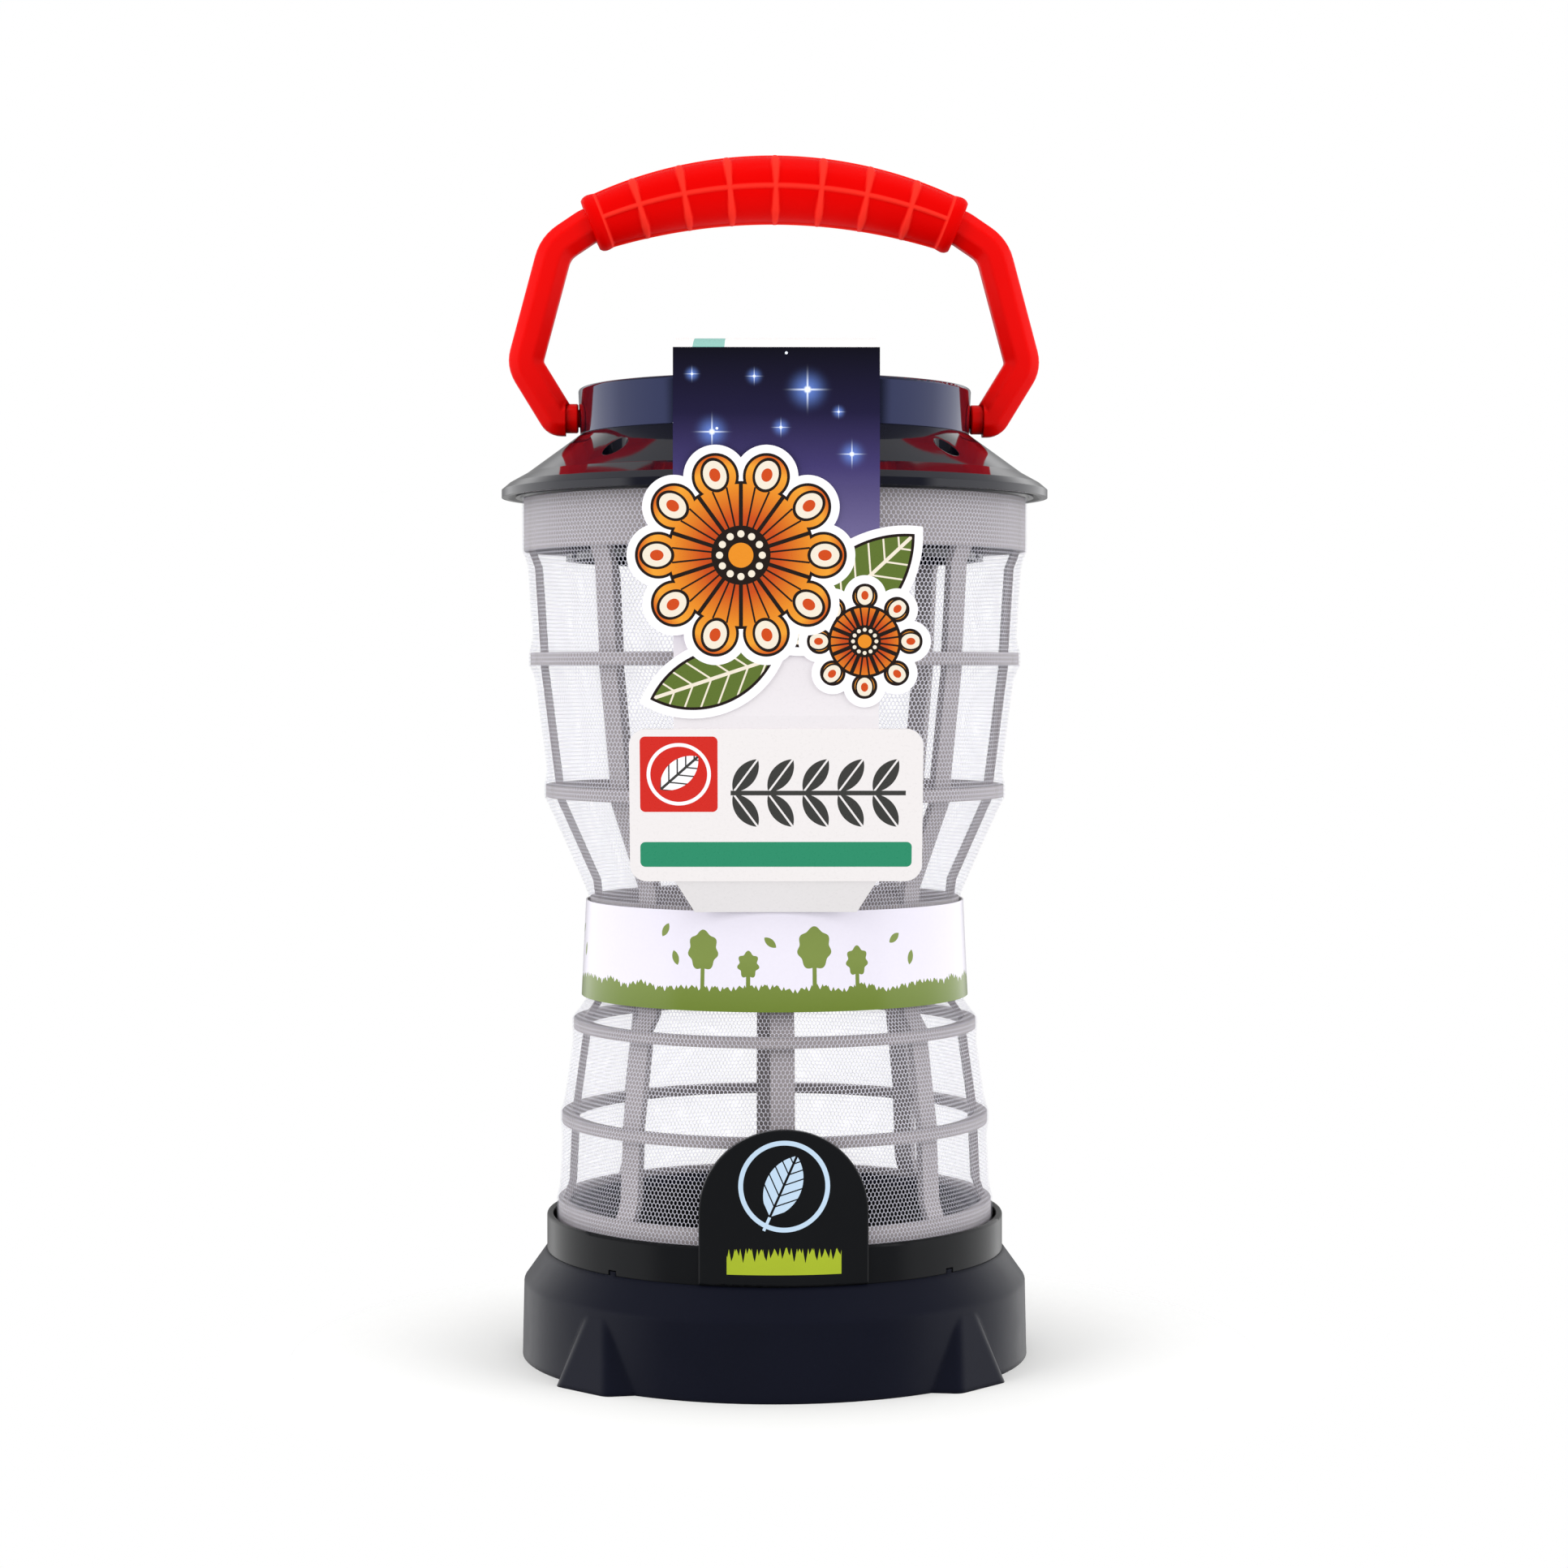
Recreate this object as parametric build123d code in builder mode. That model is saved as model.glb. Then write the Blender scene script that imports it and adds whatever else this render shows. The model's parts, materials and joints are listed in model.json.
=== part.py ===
from build123d import *

import os
from collections import namedtuple

os.makedirs("parts", exist_ok=True)

# An insect cage shaped like a lantern. Millimetres, +Z up, the floor at z = 0 and the front at -Y.

# Base: a drafted skirt, a sloping shoulder, a flat deck and a spigot that guides the cage
base_radius = 62.0
skirt_draft = 0.4
skirt_height = 18.2
shoulder_height = 7.4
shoulder_lap = 0.3
base_wall = 2.2
base_edge_round = 1.2
spigot_top_gap = 0.4
spigot_wall = 2.0
spigot_gap = 0.4
tube_height = 17.6
gusset_count = 8
gusset_width = 1.8
gusset_lift = 4.0

# Buttress feet on the skirt, one under every second rib
foot_count = 4
foot_width = 25.0
foot_tip_width = 9.0
foot_tip_drop = 1.6
foot_proud = 4.4
foot_face_width = 16.6
foot_tip_sunk = 0.35
foot_tip_face_width = 5.6
foot_round = 3.0

# Floor pan dropped into the deck
pan_wall = 1.6
pan_gap = 0.3
pan_depth = 4.2
pan_flange = 2.3
pan_flange_height = 1.4
pan_rim_height = 8.6
pan_ridge_width = 1.6
pan_ridge_height = 0.6
pan_ridge_count = 3

# Collar ring with the arched shield, and the nibs of the base that key into its lower edge
collar_radius = 56.0
collar_wall = 1.6
collar_height = 9.0
collar_lip_round = 0.7
ledge_height = 2.0
nib_width = 2.0
nib_height = 0.9
nib_gap = 0.3
shield_width = 39.2
shield_height = 36.3
shield_wall = 2.2
shield_proud = 1.0
shield_gap = 0.3
shield_edge_round = 0.5

# Net sleeve
net_thickness = 0.4
net_gap = 0.1
net_end_margin = 0.5
net_blend = 4.0
net_blend_share = 0.4
hem_gap = 0.7

# Frame: ribs and hoops. The rises of the low hoop and the waist start at the seat on the collar's
# ledge and the funnel hoop's at the waist; a drop ends at the waist or the top band. A step is how
# far a hoop stands in from the wider one beside it.
rib_count = 8
rib_width = 5.6
rib_depth = 1.8
rib_sink = 2.5
rib_end_sink = 1.2
rib_lap = 1.0
lower_hoop_height = 2.4
upper_hoop_height = 3.0
hoop_depth = 3.2
frame_wall = 2.2
lower_recess = 0.6
funnel_recess = 0.2
upper_recess = 1.1
foot_ring_height = 10.4
low_hoop_rise = 30.4
low_hoop_step = 0.9
neck_hoop_drop = 7.0
neck_hoop_step = 2.9
waist_rise = 60.4
waist_step = 4.1
waist_low_height = 12.0
waist_high_height = 12.0
waist_wall = 2.4
waist_spigot_wall = 1.6
waist_spigot_gap = 1.0
waist_gap = 0.15
funnel_hoop_rise = 26.0
funnel_hoop_step = 3.7
shoulder_hoop_drop = 26.3
shoulder_hoop_step = 1.6
top_band_height = 12.7
top_band_radius = 61.5
cage_height = 181.6

# Lid: a cone with a brim, a skirt inside the cage's mouth, and a drum. The neck's step is how far
# it stands in from the skirt's bore.
neck_step = 2.0
neck_width = 2.2
neck_rise = 15.8
eave_rise = 6.2
brim_slope_width = 4.3
brim_edge_rise = 3.8
brim_gutter = 0.1
brim_overhang = 1.9
brim_lip_top = 2.2
brim_lip_bottom = 0.3
brim_lip_width = 1.4
neck_edge = 0.8
net_guard_width = 1.0
net_guard_gap = 0.5
net_guard_lift = 0.3
mouth_skirt_gap = 0.4
mouth_skirt_wall = 1.6
mouth_skirt_drop = 15.1
drum_lap = 0.1
drum_step = 0.5
drum_height = 11.2
drum_wall = 2.2
drum_edge_round = 0.8
drum_spigot_height = 4.0
drum_fit = 0.1

# Lid screws, in wells under the cone
screw_count = 4
screw_inset = 4.5
screw_head_radius = 2.8
screw_head_height = 2.0
screw_shank_radius = 1.5
screw_length = 9.0
screw_slot_length = 3.8
screw_slot_width = 0.9
screw_slot_depth = 1.0
screw_fit = 0.05
screw_hole_gap = 0.2
well_radius = 3.0
well_wall = 0.9
well_floor = 1.8
well_drop = 1.0
post_radius = 3.2
post_web_width = 3.0
post_height = 10.0

# Bail: octagonal bar in the XZ plane, with each corner placed from the one before it
bail_width = 8.6
hub_sink = 0.2
hub_gap = 0.3
hub_length = 1.2
axle_radius = 2.2
axle_fit = 0.05
axle_past_clip = 1.0
knuckle_length = 3.6
elbow_out = 8.1
elbow_up = 13.2
arm_in = 7.6
arm_up = 28.5
bend_in = 7.7
bend_up = 5.2
grip_arc_rise = 9.3
clip_radius = 4.4
clip_width = 1.2
clip_gap = 0.5
clip_fit = 0.02

# Grip sleeve: a barrel along the bail's arc
grip_end_radius = 6.7
grip_middle_radius = 8.6
grip_margin = 0.006
grip_sections = 9
grip_fit = 0.1

# Paper band and card wrap
paper = 0.4
band_gap = 0.2
band_step = 1.1
band_top_drop = 0.7
card = 0.5
card_gap = 0.6
card_lift = 3.4
card_crown = 7.2
strap_width = 46.6
tab_width = 37.6
tab_gap = 0.3
card_turn = 1.9
plate_stand = 8.0
plate_low_lift = 7.0
plate_height = 36.0
plate_width = 67.0
plate_corner = 4.0
plate_clear = 0.9
picture_lift = 2.0

# Die-cut picture: two flower heads and a pair of leaves, placed from the middle of its lower edge
flower_places = ((-8.0, 36.5), (20.0, 17.0))
flower_rings = (18.6, 10.2)
petal_radii = (7.2, 4.8)
petal_counts = (10, 8)
leaf_root = (2.0, 14.0)
leaf_tips = ((-31.0, 3.0), (33.0, 43.0))
leaf_bulge = 0.24

# Heights and radii that follow from the sizes above
deck_z = skirt_height + shoulder_height
seat_z = deck_z + ledge_height
lid_z = seat_z + cage_height
neck_z = lid_z + neck_rise
drum_top_z = neck_z + drum_height
hub_radius = bail_width / 2
pivot_rise = hub_radius - hub_sink
pivot_z = neck_z + pivot_rise
foot_height = skirt_height - foot_tip_drop
spigot_height = ledge_height + foot_ring_height - rib_lap - spigot_top_gap

collar_bore = collar_radius - collar_wall
foot_ring_radius = collar_bore - hem_gap - net_thickness - net_gap
foot_ring_bore = foot_ring_radius - frame_wall
spigot_radius = foot_ring_bore - spigot_gap
spigot_bore = spigot_radius - spigot_wall
pan_flange_radius = spigot_bore - pan_gap
pan_radius = pan_flange_radius - pan_flange
deck_hole = pan_radius + pan_gap
low_hoop_radius = foot_ring_radius - low_hoop_step
neck_hoop_radius = low_hoop_radius - neck_hoop_step
waist_radius = neck_hoop_radius - waist_step
shoulder_hoop_radius = top_band_radius - shoulder_hoop_step
funnel_hoop_radius = shoulder_hoop_radius - funnel_hoop_step
top_band_bore = top_band_radius - frame_wall
guard_bore = top_band_radius + net_gap + net_thickness + net_guard_gap
guard_radius = guard_bore + net_guard_width
brim_edge_radius = guard_radius + brim_gutter + brim_lip_width
brim_radius = brim_edge_radius + brim_overhang
eave_radius = brim_edge_radius - brim_slope_width
screw_circle = top_band_bore - screw_inset
mouth_skirt_radius = screw_circle - post_radius - mouth_skirt_gap
neck_radius = mouth_skirt_radius - mouth_skirt_wall - neck_step
neck_hole = neck_radius - neck_width
foot_turn = 180.0 / foot_count
screw_turn = 180.0 / screw_count

waist_z = seat_z + waist_rise
waist_joint_z = waist_z + waist_low_height
waist_top_z = waist_joint_z + waist_high_height
waist_spigot_height = waist_high_height - rib_lap - waist_spigot_gap

Hoop = namedtuple("Hoop", "low high radius")


def hoop(middle, radius, height):
    """A hoop of the frame with its middle at a level."""
    return Hoop(middle - height / 2, middle + height / 2, radius)


foot_ring = Hoop(seat_z, seat_z + foot_ring_height, foot_ring_radius)
low_hoop = hoop(seat_z + low_hoop_rise, low_hoop_radius, lower_hoop_height)
neck_hoop = hoop(waist_z - neck_hoop_drop, neck_hoop_radius, lower_hoop_height)
waist = Hoop(waist_z, waist_top_z, waist_radius)
funnel_hoop = hoop(waist_top_z + funnel_hoop_rise, funnel_hoop_radius, upper_hoop_height)
top_band = Hoop(lid_z - top_band_height, lid_z, top_band_radius)
shoulder_hoop = hoop(top_band.low - shoulder_hoop_drop, shoulder_hoop_radius, upper_hoop_height)

hoops = [foot_ring, low_hoop, neck_hoop, waist, funnel_hoop, shoulder_hoop, top_band]
recesses = [lower_recess, lower_recess, funnel_recess, funnel_recess, upper_recess, upper_recess]


def bay_line(bay):
    """Hoops at a bay's ends, and two points of the line between them, each a blend away from its hoop."""
    below = hoops[bay]
    above = hoops[bay + 1]
    span = above.low - below.high
    blend = min(net_blend, net_blend_share * span)
    slope = (above.radius - below.radius) / span
    low = (below.radius + slope * blend, below.high + blend)
    high = (above.radius - slope * blend, above.low - blend)
    return below, above, low, high


def rib_outline(first, last):
    """Side outline of a rib that runs from one hoop to another, as (radius, height) points."""
    line = []
    for bay in range(first, last):
        below, above, low, high = bay_line(bay)
        line.append(low if bay == first else (below.radius, below.high))
        line.append(high if bay + 1 == last else (above.radius, above.low))
    foot = hoops[first].radius - rib_end_sink
    head = hoops[last].radius - rib_end_sink
    outer = [
        (foot, hoops[first].high - rib_lap),
        (foot, hoops[first].high),
        *[(r - rib_sink, z) for r, z in line],
        (head, hoops[last].low),
        (head, hoops[last].low + rib_lap),
    ]
    inner = [(r - rib_depth, z) for r, z in reversed(outer)]
    return outer + inner


def net_line(stand_off):
    """Side line of the net at a distance from the hoops, bottom to top, as (radius, height) points."""
    line = []
    for bay, recess in enumerate(recesses):
        below, above, low, high = bay_line(bay)
        line.append((below.radius + stand_off, below.low))
        line.append((below.radius + stand_off, below.high))
        line.extend((r - recess + stand_off, z) for r, z in (low, high))
    line.append((top_band.radius + stand_off, top_band.low))
    line.append((top_band.radius + stand_off, top_band.high - net_end_margin))
    line[0] = (line[0][0], foot_ring.low + net_end_margin)
    return line


def cone_under(radius):
    """Height of the cone's underside at a radius."""
    slope = (neck_rise - eave_rise) / (eave_radius - neck_radius)
    return neck_z - neck_edge - slope * (radius - neck_hole)


def drum_radius_at(rise):
    """Outer radius of the drum at a rise above its foot."""
    return neck_radius + drum_lap + drum_step * rise / drum_height


# A web under the deck, between the pan's tube and the skirt
with BuildPart() as gusset:
    with BuildSketch(Plane.XZ):
        with BuildLine():
            Polyline(
                (deck_hole + base_wall / 2, deck_z - base_wall / 2),
                (collar_radius - base_wall, deck_z - base_wall / 2),
                (base_radius - skirt_draft - base_wall / 2, skirt_height - base_wall),
                (base_radius - base_wall / 2, gusset_lift),
                (deck_hole + base_wall / 2, deck_z - tube_height + gusset_lift),
                close=True,
            )
        make_face()
    extrude(amount=gusset_width / 2, both=True)

# A buttress foot with round edges, wide and proud at the floor, narrow and flush at its tip
foot_root = base_radius - skirt_draft - base_wall / 2
with BuildPart() as foot:
    for level, root_width, face_radius, face_width in (
        (0, foot_width, base_radius + foot_proud, foot_face_width),
        (foot_height, foot_tip_width, base_radius - foot_tip_sunk, foot_tip_face_width),
    ):
        with BuildSketch(Plane.XY.offset(level)):
            with BuildLine():
                Polyline(
                    (foot_root, -root_width / 2),
                    (face_radius, -face_width / 2),
                    (face_radius, face_width / 2),
                    (foot_root, root_width / 2),
                    close=True,
                )
            foot_face = make_face()
            fillet(foot_face.vertices().group_by(Axis.X)[-1], foot_round)
    loft(ruled=True)

# Base shell
with BuildPart() as base_shell:
    with BuildSketch(Plane.XZ):
        with BuildLine():
            Polyline(
                (base_radius, 0),
                (base_radius - skirt_draft, skirt_height),
                (collar_radius + shoulder_lap, deck_z),
                (spigot_radius, deck_z),
                (spigot_radius, deck_z + spigot_height),
                (spigot_bore, deck_z + spigot_height),
                (spigot_bore, deck_z),
                (deck_hole, deck_z),
                (deck_hole, deck_z - tube_height),
                (deck_hole + base_wall, deck_z - tube_height),
                (deck_hole + base_wall, deck_z - base_wall),
                (collar_radius - base_wall / 2, deck_z - base_wall),
                (base_radius - skirt_draft - base_wall, skirt_height - base_wall / 2),
                (base_radius - base_wall, 0),
                close=True,
            )
        base_face = make_face()
        skirt_corner = base_face.vertices().sort_by_distance((base_radius - skirt_draft, skirt_height))[0]
        fillet(skirt_corner, base_edge_round)
    revolve(axis=Axis.Z)
    with PolarLocations(0, gusset_count, start_angle=foot_turn / 2):
        add(gusset.part)
    with PolarLocations(0, foot_count, start_angle=foot_turn):
        add(foot.part)
    # Nibs on the deck that key the cage's collar
    with BuildSketch(Plane.XY.offset(deck_z)):
        with PolarLocations((collar_bore + collar_radius) / 2, foot_count, start_angle=foot_turn):
            Rectangle(collar_wall - nib_gap, nib_width)
    extrude(amount=nib_height)
base_shell.part.label = "base_shell"
export_step(base_shell.part, "parts/base_shell.step")

# Floor pan, hung by its flange on the deck inside the spigot
pan_floor_z = deck_z - pan_depth
with BuildPart() as floor_pan:
    with BuildSketch(Plane.XZ):
        with BuildLine():
            Polyline(
                (0, pan_floor_z - pan_wall),
                (pan_radius, pan_floor_z - pan_wall),
                (pan_radius, deck_z),
                (pan_flange_radius, deck_z),
                (pan_flange_radius, deck_z + pan_rim_height),
                (pan_flange_radius - pan_wall, deck_z + pan_rim_height),
                (pan_flange_radius - pan_wall, deck_z + pan_flange_height),
                (pan_radius - pan_wall, deck_z + pan_flange_height),
                (pan_radius - pan_wall, pan_floor_z),
                (0, pan_floor_z),
                close=True,
            )
        make_face()
    revolve(axis=Axis.Z)
    # Raised rings on the pan's floor
    ridge_step = (pan_radius - pan_wall) / (pan_ridge_count + 1)
    with BuildSketch(Plane.XY.offset(pan_floor_z)):
        for ridge in range(1, pan_ridge_count + 1):
            Circle(ridge * ridge_step + pan_ridge_width / 2)
            Circle(ridge * ridge_step - pan_ridge_width / 2, mode=Mode.SUBTRACT)
    extrude(amount=pan_ridge_height)
floor_pan.part.label = "floor_pan"
export_step(floor_pan.part, "parts/floor_pan.step")

# Arched shield that follows the collar's curve
shield_arch = shield_width / 2
shield_front = collar_radius + shield_proud
with BuildPart() as shield:
    with BuildSketch(Plane.XZ):
        with BuildLine():
            l1 = Line((-shield_arch, deck_z + shield_gap), (shield_arch, deck_z + shield_gap))
            l2 = Line(l1 @ 1, (shield_arch, deck_z + shield_height - shield_arch))
            l3 = ThreePointArc(
                l2 @ 1, (0, deck_z + shield_height), (-shield_arch, deck_z + shield_height - shield_arch)
            )
            Line(l3 @ 1, l1 @ 0)
        make_face()
    extrude(amount=shield_front)
    with BuildSketch(Plane.XY.offset(deck_z)):
        Circle(shield_front)
        Circle(shield_front - shield_wall, mode=Mode.SUBTRACT)
    extrude(amount=shield_height, mode=Mode.INTERSECT)
    shield_face = shield.faces().sort_by(Axis.Y)[0]
    fillet(shield_face.edges(), shield_edge_round)

# Collar: a ring with a ledge that carries the frame
with BuildPart() as collar:
    with BuildSketch(Plane.XZ):
        with BuildLine():
            Polyline(
                (foot_ring_bore, deck_z),
                (collar_radius, deck_z),
                (collar_radius, deck_z + collar_height),
                (collar_bore, deck_z + collar_height),
                (collar_bore, seat_z),
                (foot_ring_bore, seat_z),
                close=True,
            )
        collar_face = make_face()
        fillet(collar_face.vertices().group_by(Axis.Y)[-1], collar_lip_round)
    revolve(axis=Axis.Z)
    add(shield.part)
    with BuildSketch(Plane.XY.offset(deck_z)):
        with PolarLocations(collar_radius, foot_count, start_angle=foot_turn):
            Rectangle(2 * (collar_radius - foot_ring_bore) + nib_gap, nib_width + 2 * nib_gap)
    extrude(amount=nib_height + nib_gap, mode=Mode.SUBTRACT)
collar.part.label = "collar"
export_step(collar.part, "parts/collar.step")

# Lower frame: foot ring, two hoops, the waist's lower half and its spigot
with BuildPart() as lower_rib:
    with BuildSketch(Plane.XZ):
        with BuildLine():
            Polyline(*rib_outline(0, 3), close=True)
        make_face()
    extrude(amount=rib_width / 2, both=True)

waist_bore = waist_radius - waist_wall
waist_spigot_radius = waist_bore - waist_gap
with BuildPart() as lower_frame:
    with BuildSketch(Plane.XZ):
        with BuildLine():
            Polyline(
                (foot_ring_bore, foot_ring.low),
                (foot_ring_radius, foot_ring.low),
                (foot_ring_radius, foot_ring.high),
                (foot_ring_bore, foot_ring.high),
                close=True,
            )
        make_face()
        for ring in (low_hoop, neck_hoop):
            with BuildLine():
                Polyline(
                    (ring.radius - hoop_depth, ring.low),
                    (ring.radius, ring.low),
                    (ring.radius, ring.high),
                    (ring.radius - hoop_depth, ring.high),
                    close=True,
                )
            make_face()
        with BuildLine():
            Polyline(
                (waist_spigot_radius - waist_spigot_wall, waist.low),
                (waist_radius, waist.low),
                (waist_radius, waist_joint_z),
                (waist_spigot_radius, waist_joint_z),
                (waist_spigot_radius, waist_joint_z + waist_spigot_height),
                (waist_spigot_radius - waist_spigot_wall, waist_joint_z + waist_spigot_height),
                close=True,
            )
        make_face()
    revolve(axis=Axis.Z)
    with PolarLocations(0, rib_count):
        add(lower_rib.part)
lower_frame.part.label = "lower_frame"
export_step(lower_frame.part, "parts/lower_frame.step")

# Upper frame: the waist's upper half, two hoops, the top band and the screw posts
with BuildPart() as upper_rib:
    with BuildSketch(Plane.XZ):
        with BuildLine():
            Polyline(*rib_outline(3, 6), close=True)
        make_face()
    extrude(amount=rib_width / 2, both=True)

post_top_z = lid_z - well_drop
with BuildPart() as upper_frame:
    with BuildSketch(Plane.XZ):
        for low, high, radius, depth in (
            (waist_joint_z, waist.high, waist_radius, waist_wall),
            (funnel_hoop.low, funnel_hoop.high, funnel_hoop.radius, hoop_depth),
            (shoulder_hoop.low, shoulder_hoop.high, shoulder_hoop.radius, hoop_depth),
            (top_band.low, top_band.high, top_band.radius, frame_wall),
        ):
            with BuildLine():
                Polyline(
                    (radius - depth, low), (radius, low), (radius, high), (radius - depth, high), close=True
                )
            make_face()
    revolve(axis=Axis.Z)
    with PolarLocations(0, rib_count):
        add(upper_rib.part)
    with BuildSketch(Plane.XY.offset(post_top_z - post_height)):
        with PolarLocations(screw_circle, screw_count, start_angle=screw_turn):
            Circle(post_radius)
        with PolarLocations((screw_circle + top_band_bore) / 2, screw_count, start_angle=screw_turn):
            Rectangle(top_band_bore - screw_circle + frame_wall, post_web_width)
    extrude(amount=post_height)
    with Locations(Plane.XY.offset(post_top_z)):
        with PolarLocations(screw_circle, screw_count, start_angle=screw_turn):
            Hole(screw_shank_radius + screw_fit, depth=post_height)
upper_frame.part.label = "upper_frame"
export_step(upper_frame.part, "parts/upper_frame.step")

# Net sleeve over both frames
with BuildPart() as net_sleeve:
    with BuildSketch(Plane.XZ):
        with BuildLine():
            inside = net_line(net_gap)
            outside = net_line(net_gap + net_thickness)
            Polyline(*outside, *reversed(inside), close=True)
        make_face()
    revolve(axis=Axis.Z)
net_sleeve.part.label = "net_sleeve"
export_step(net_sleeve.part, "parts/net_sleeve.step")

# Lid brim: cone, lip, guard over the net's edge, and the skirt in the cage's mouth
mouth_skirt_z = lid_z - mouth_skirt_drop
well_outer = well_radius + well_wall
with BuildPart() as lid_brim:
    with BuildSketch(Plane.XY.offset(post_top_z)):
        with PolarLocations(screw_circle, screw_count, start_angle=screw_turn):
            Circle(well_outer)
    extrude(amount=neck_z - post_top_z)
    with BuildSketch(Plane.XZ):
        with BuildLine():
            Polyline(
                (0, neck_z),
                (neck_radius, neck_z),
                (eave_radius, lid_z + eave_rise),
                (brim_radius, lid_z + eave_rise),
                (brim_radius, drum_top_z),
                (0, drum_top_z),
                close=True,
            )
        make_face()
    revolve(axis=Axis.Z, mode=Mode.SUBTRACT)
    with BuildSketch(Plane.XZ):
        with BuildLine():
            Polyline(
                (neck_hole, neck_z),
                (neck_radius, neck_z),
                (eave_radius, lid_z + eave_rise),
                (brim_edge_radius, lid_z + brim_edge_rise),
                (brim_radius, lid_z + brim_lip_top),
                (brim_radius, lid_z + brim_lip_bottom),
                (brim_radius - brim_lip_width, lid_z + brim_lip_bottom),
                (brim_edge_radius - brim_lip_width, lid_z + brim_lip_top),
                (guard_radius, lid_z + brim_lip_top),
                (guard_radius, lid_z + net_guard_lift),
                (guard_bore, lid_z + net_guard_lift),
                (guard_bore, lid_z),
                (top_band_bore, lid_z),
                (top_band_bore, cone_under(top_band_bore)),
                (mouth_skirt_radius, cone_under(mouth_skirt_radius)),
                (mouth_skirt_radius, mouth_skirt_z),
                (mouth_skirt_radius - mouth_skirt_wall, mouth_skirt_z),
                (mouth_skirt_radius - mouth_skirt_wall, cone_under(mouth_skirt_radius - mouth_skirt_wall)),
                (neck_hole, cone_under(neck_hole)),
                close=True,
            )
        make_face()
    revolve(axis=Axis.Z)
    with Locations(Plane.XY.offset(neck_z)):
        with PolarLocations(screw_circle, screw_count, start_angle=screw_turn):
            Hole(well_radius, depth=neck_z - post_top_z - well_floor)
            Hole(screw_shank_radius + screw_hole_gap, depth=neck_z - post_top_z)
lid_brim.part.label = "lid_brim"
export_step(lid_brim.part, "parts/lid_brim.step")

# Lid drum: a cup upside down, flaring upwards, with a spigot in the cone's neck
drum_spigot_radius = neck_hole - drum_fit
drum_bore = drum_spigot_radius - drum_wall
with BuildPart() as lid_drum:
    with BuildSketch(Plane.XZ):
        with BuildLine():
            Polyline(
                (0, drum_top_z),
                (drum_radius_at(drum_height), drum_top_z),
                (drum_radius_at(0), neck_z),
                (drum_spigot_radius, neck_z),
                (drum_spigot_radius, neck_z - drum_spigot_height),
                (drum_bore, neck_z - drum_spigot_height),
                (drum_bore, neck_z + drum_wall),
                (drum_bore + drum_step, drum_top_z - drum_wall),
                (0, drum_top_z - drum_wall),
                close=True,
            )
        drum_face = make_face()
        rim_corner = drum_face.vertices().sort_by_distance((drum_radius_at(drum_height), drum_top_z))[0]
        fillet(rim_corner, drum_edge_round)
    revolve(axis=Axis.Z)
    with BuildSketch(Plane.YZ):
        with Locations((0, pivot_z)):
            Circle(axle_radius + axle_fit)
    extrude(amount=brim_radius, both=True, mode=Mode.SUBTRACT)
lid_drum.part.label = "lid_drum"
export_step(lid_drum.part, "parts/lid_drum.step")

# Lid screws
head_z = post_top_z + well_floor
with BuildPart() as lid_screws:
    with BuildSketch(Plane.XY.offset(head_z)):
        with PolarLocations(screw_circle, screw_count, start_angle=screw_turn):
            Circle(screw_head_radius)
    extrude(amount=screw_head_height)
    with BuildSketch(Plane.XY.offset(head_z)):
        with PolarLocations(screw_circle, screw_count, start_angle=screw_turn):
            Circle(screw_shank_radius)
    extrude(amount=-screw_length)
    with BuildSketch(Plane.XY.offset(head_z + screw_head_height)):
        with PolarLocations(screw_circle, screw_count, start_angle=screw_turn):
            Rectangle(screw_slot_length, screw_slot_width)
            Rectangle(screw_slot_width, screw_slot_length)
    extrude(amount=-screw_slot_depth, mode=Mode.SUBTRACT)
lid_screws.part.label = "lid_screws"
export_step(lid_screws.part, "parts/lid_screws.step")

# Bail: hubs with stub axles, arms, and the arc that carries the grip
hub_face = drum_radius_at(pivot_rise + hub_radius) + hub_gap
bar_start = hub_face + hub_length
bail_knuckle = bar_start + knuckle_length
arm_points = [(bar_start, pivot_z), (bail_knuckle, pivot_z)]
for across, up in ((elbow_out, elbow_up), (-arm_in, arm_up), (-bend_in, bend_up)):
    arm_points.append((arm_points[-1][0] + across, arm_points[-1][1] + up))
left_points = [(-x, z) for x, z in reversed(arm_points)]
grip_top = (0, arm_points[-1][1] + grip_arc_rise)
clip_face = drum_bore - clip_gap
axle_end = clip_face - clip_width - axle_past_clip
with BuildLine(Plane.XZ) as grip_arc:
    ThreePointArc(arm_points[-1], grip_top, left_points[0])

with BuildPart() as bail:
    with BuildLine(Plane.XZ):
        Polyline(*arm_points)
        ThreePointArc(arm_points[-1], grip_top, left_points[0])
        Polyline(*left_points)
    with BuildSketch(Plane(origin=(bar_start, 0, pivot_z), x_dir=(0, 1, 0), z_dir=(1, 0, 0))):
        RegularPolygon(bail_width / 2, 8, major_radius=False, rotation=22.5)
    sweep(transition=Transition.ROUND)
    for side in (1, -1):
        with BuildSketch(Plane(origin=(side * hub_face, 0, pivot_z), z_dir=(side, 0, 0))):
            Circle(hub_radius)
        extrude(amount=bail_knuckle - hub_face)
        with BuildSketch(Plane(origin=(side * axle_end, 0, pivot_z), z_dir=(side, 0, 0))):
            Circle(axle_radius)
        extrude(amount=bail_knuckle - axle_end)
bail.part.label = "bail"
export_step(bail.part, "parts/bail.step")

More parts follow.
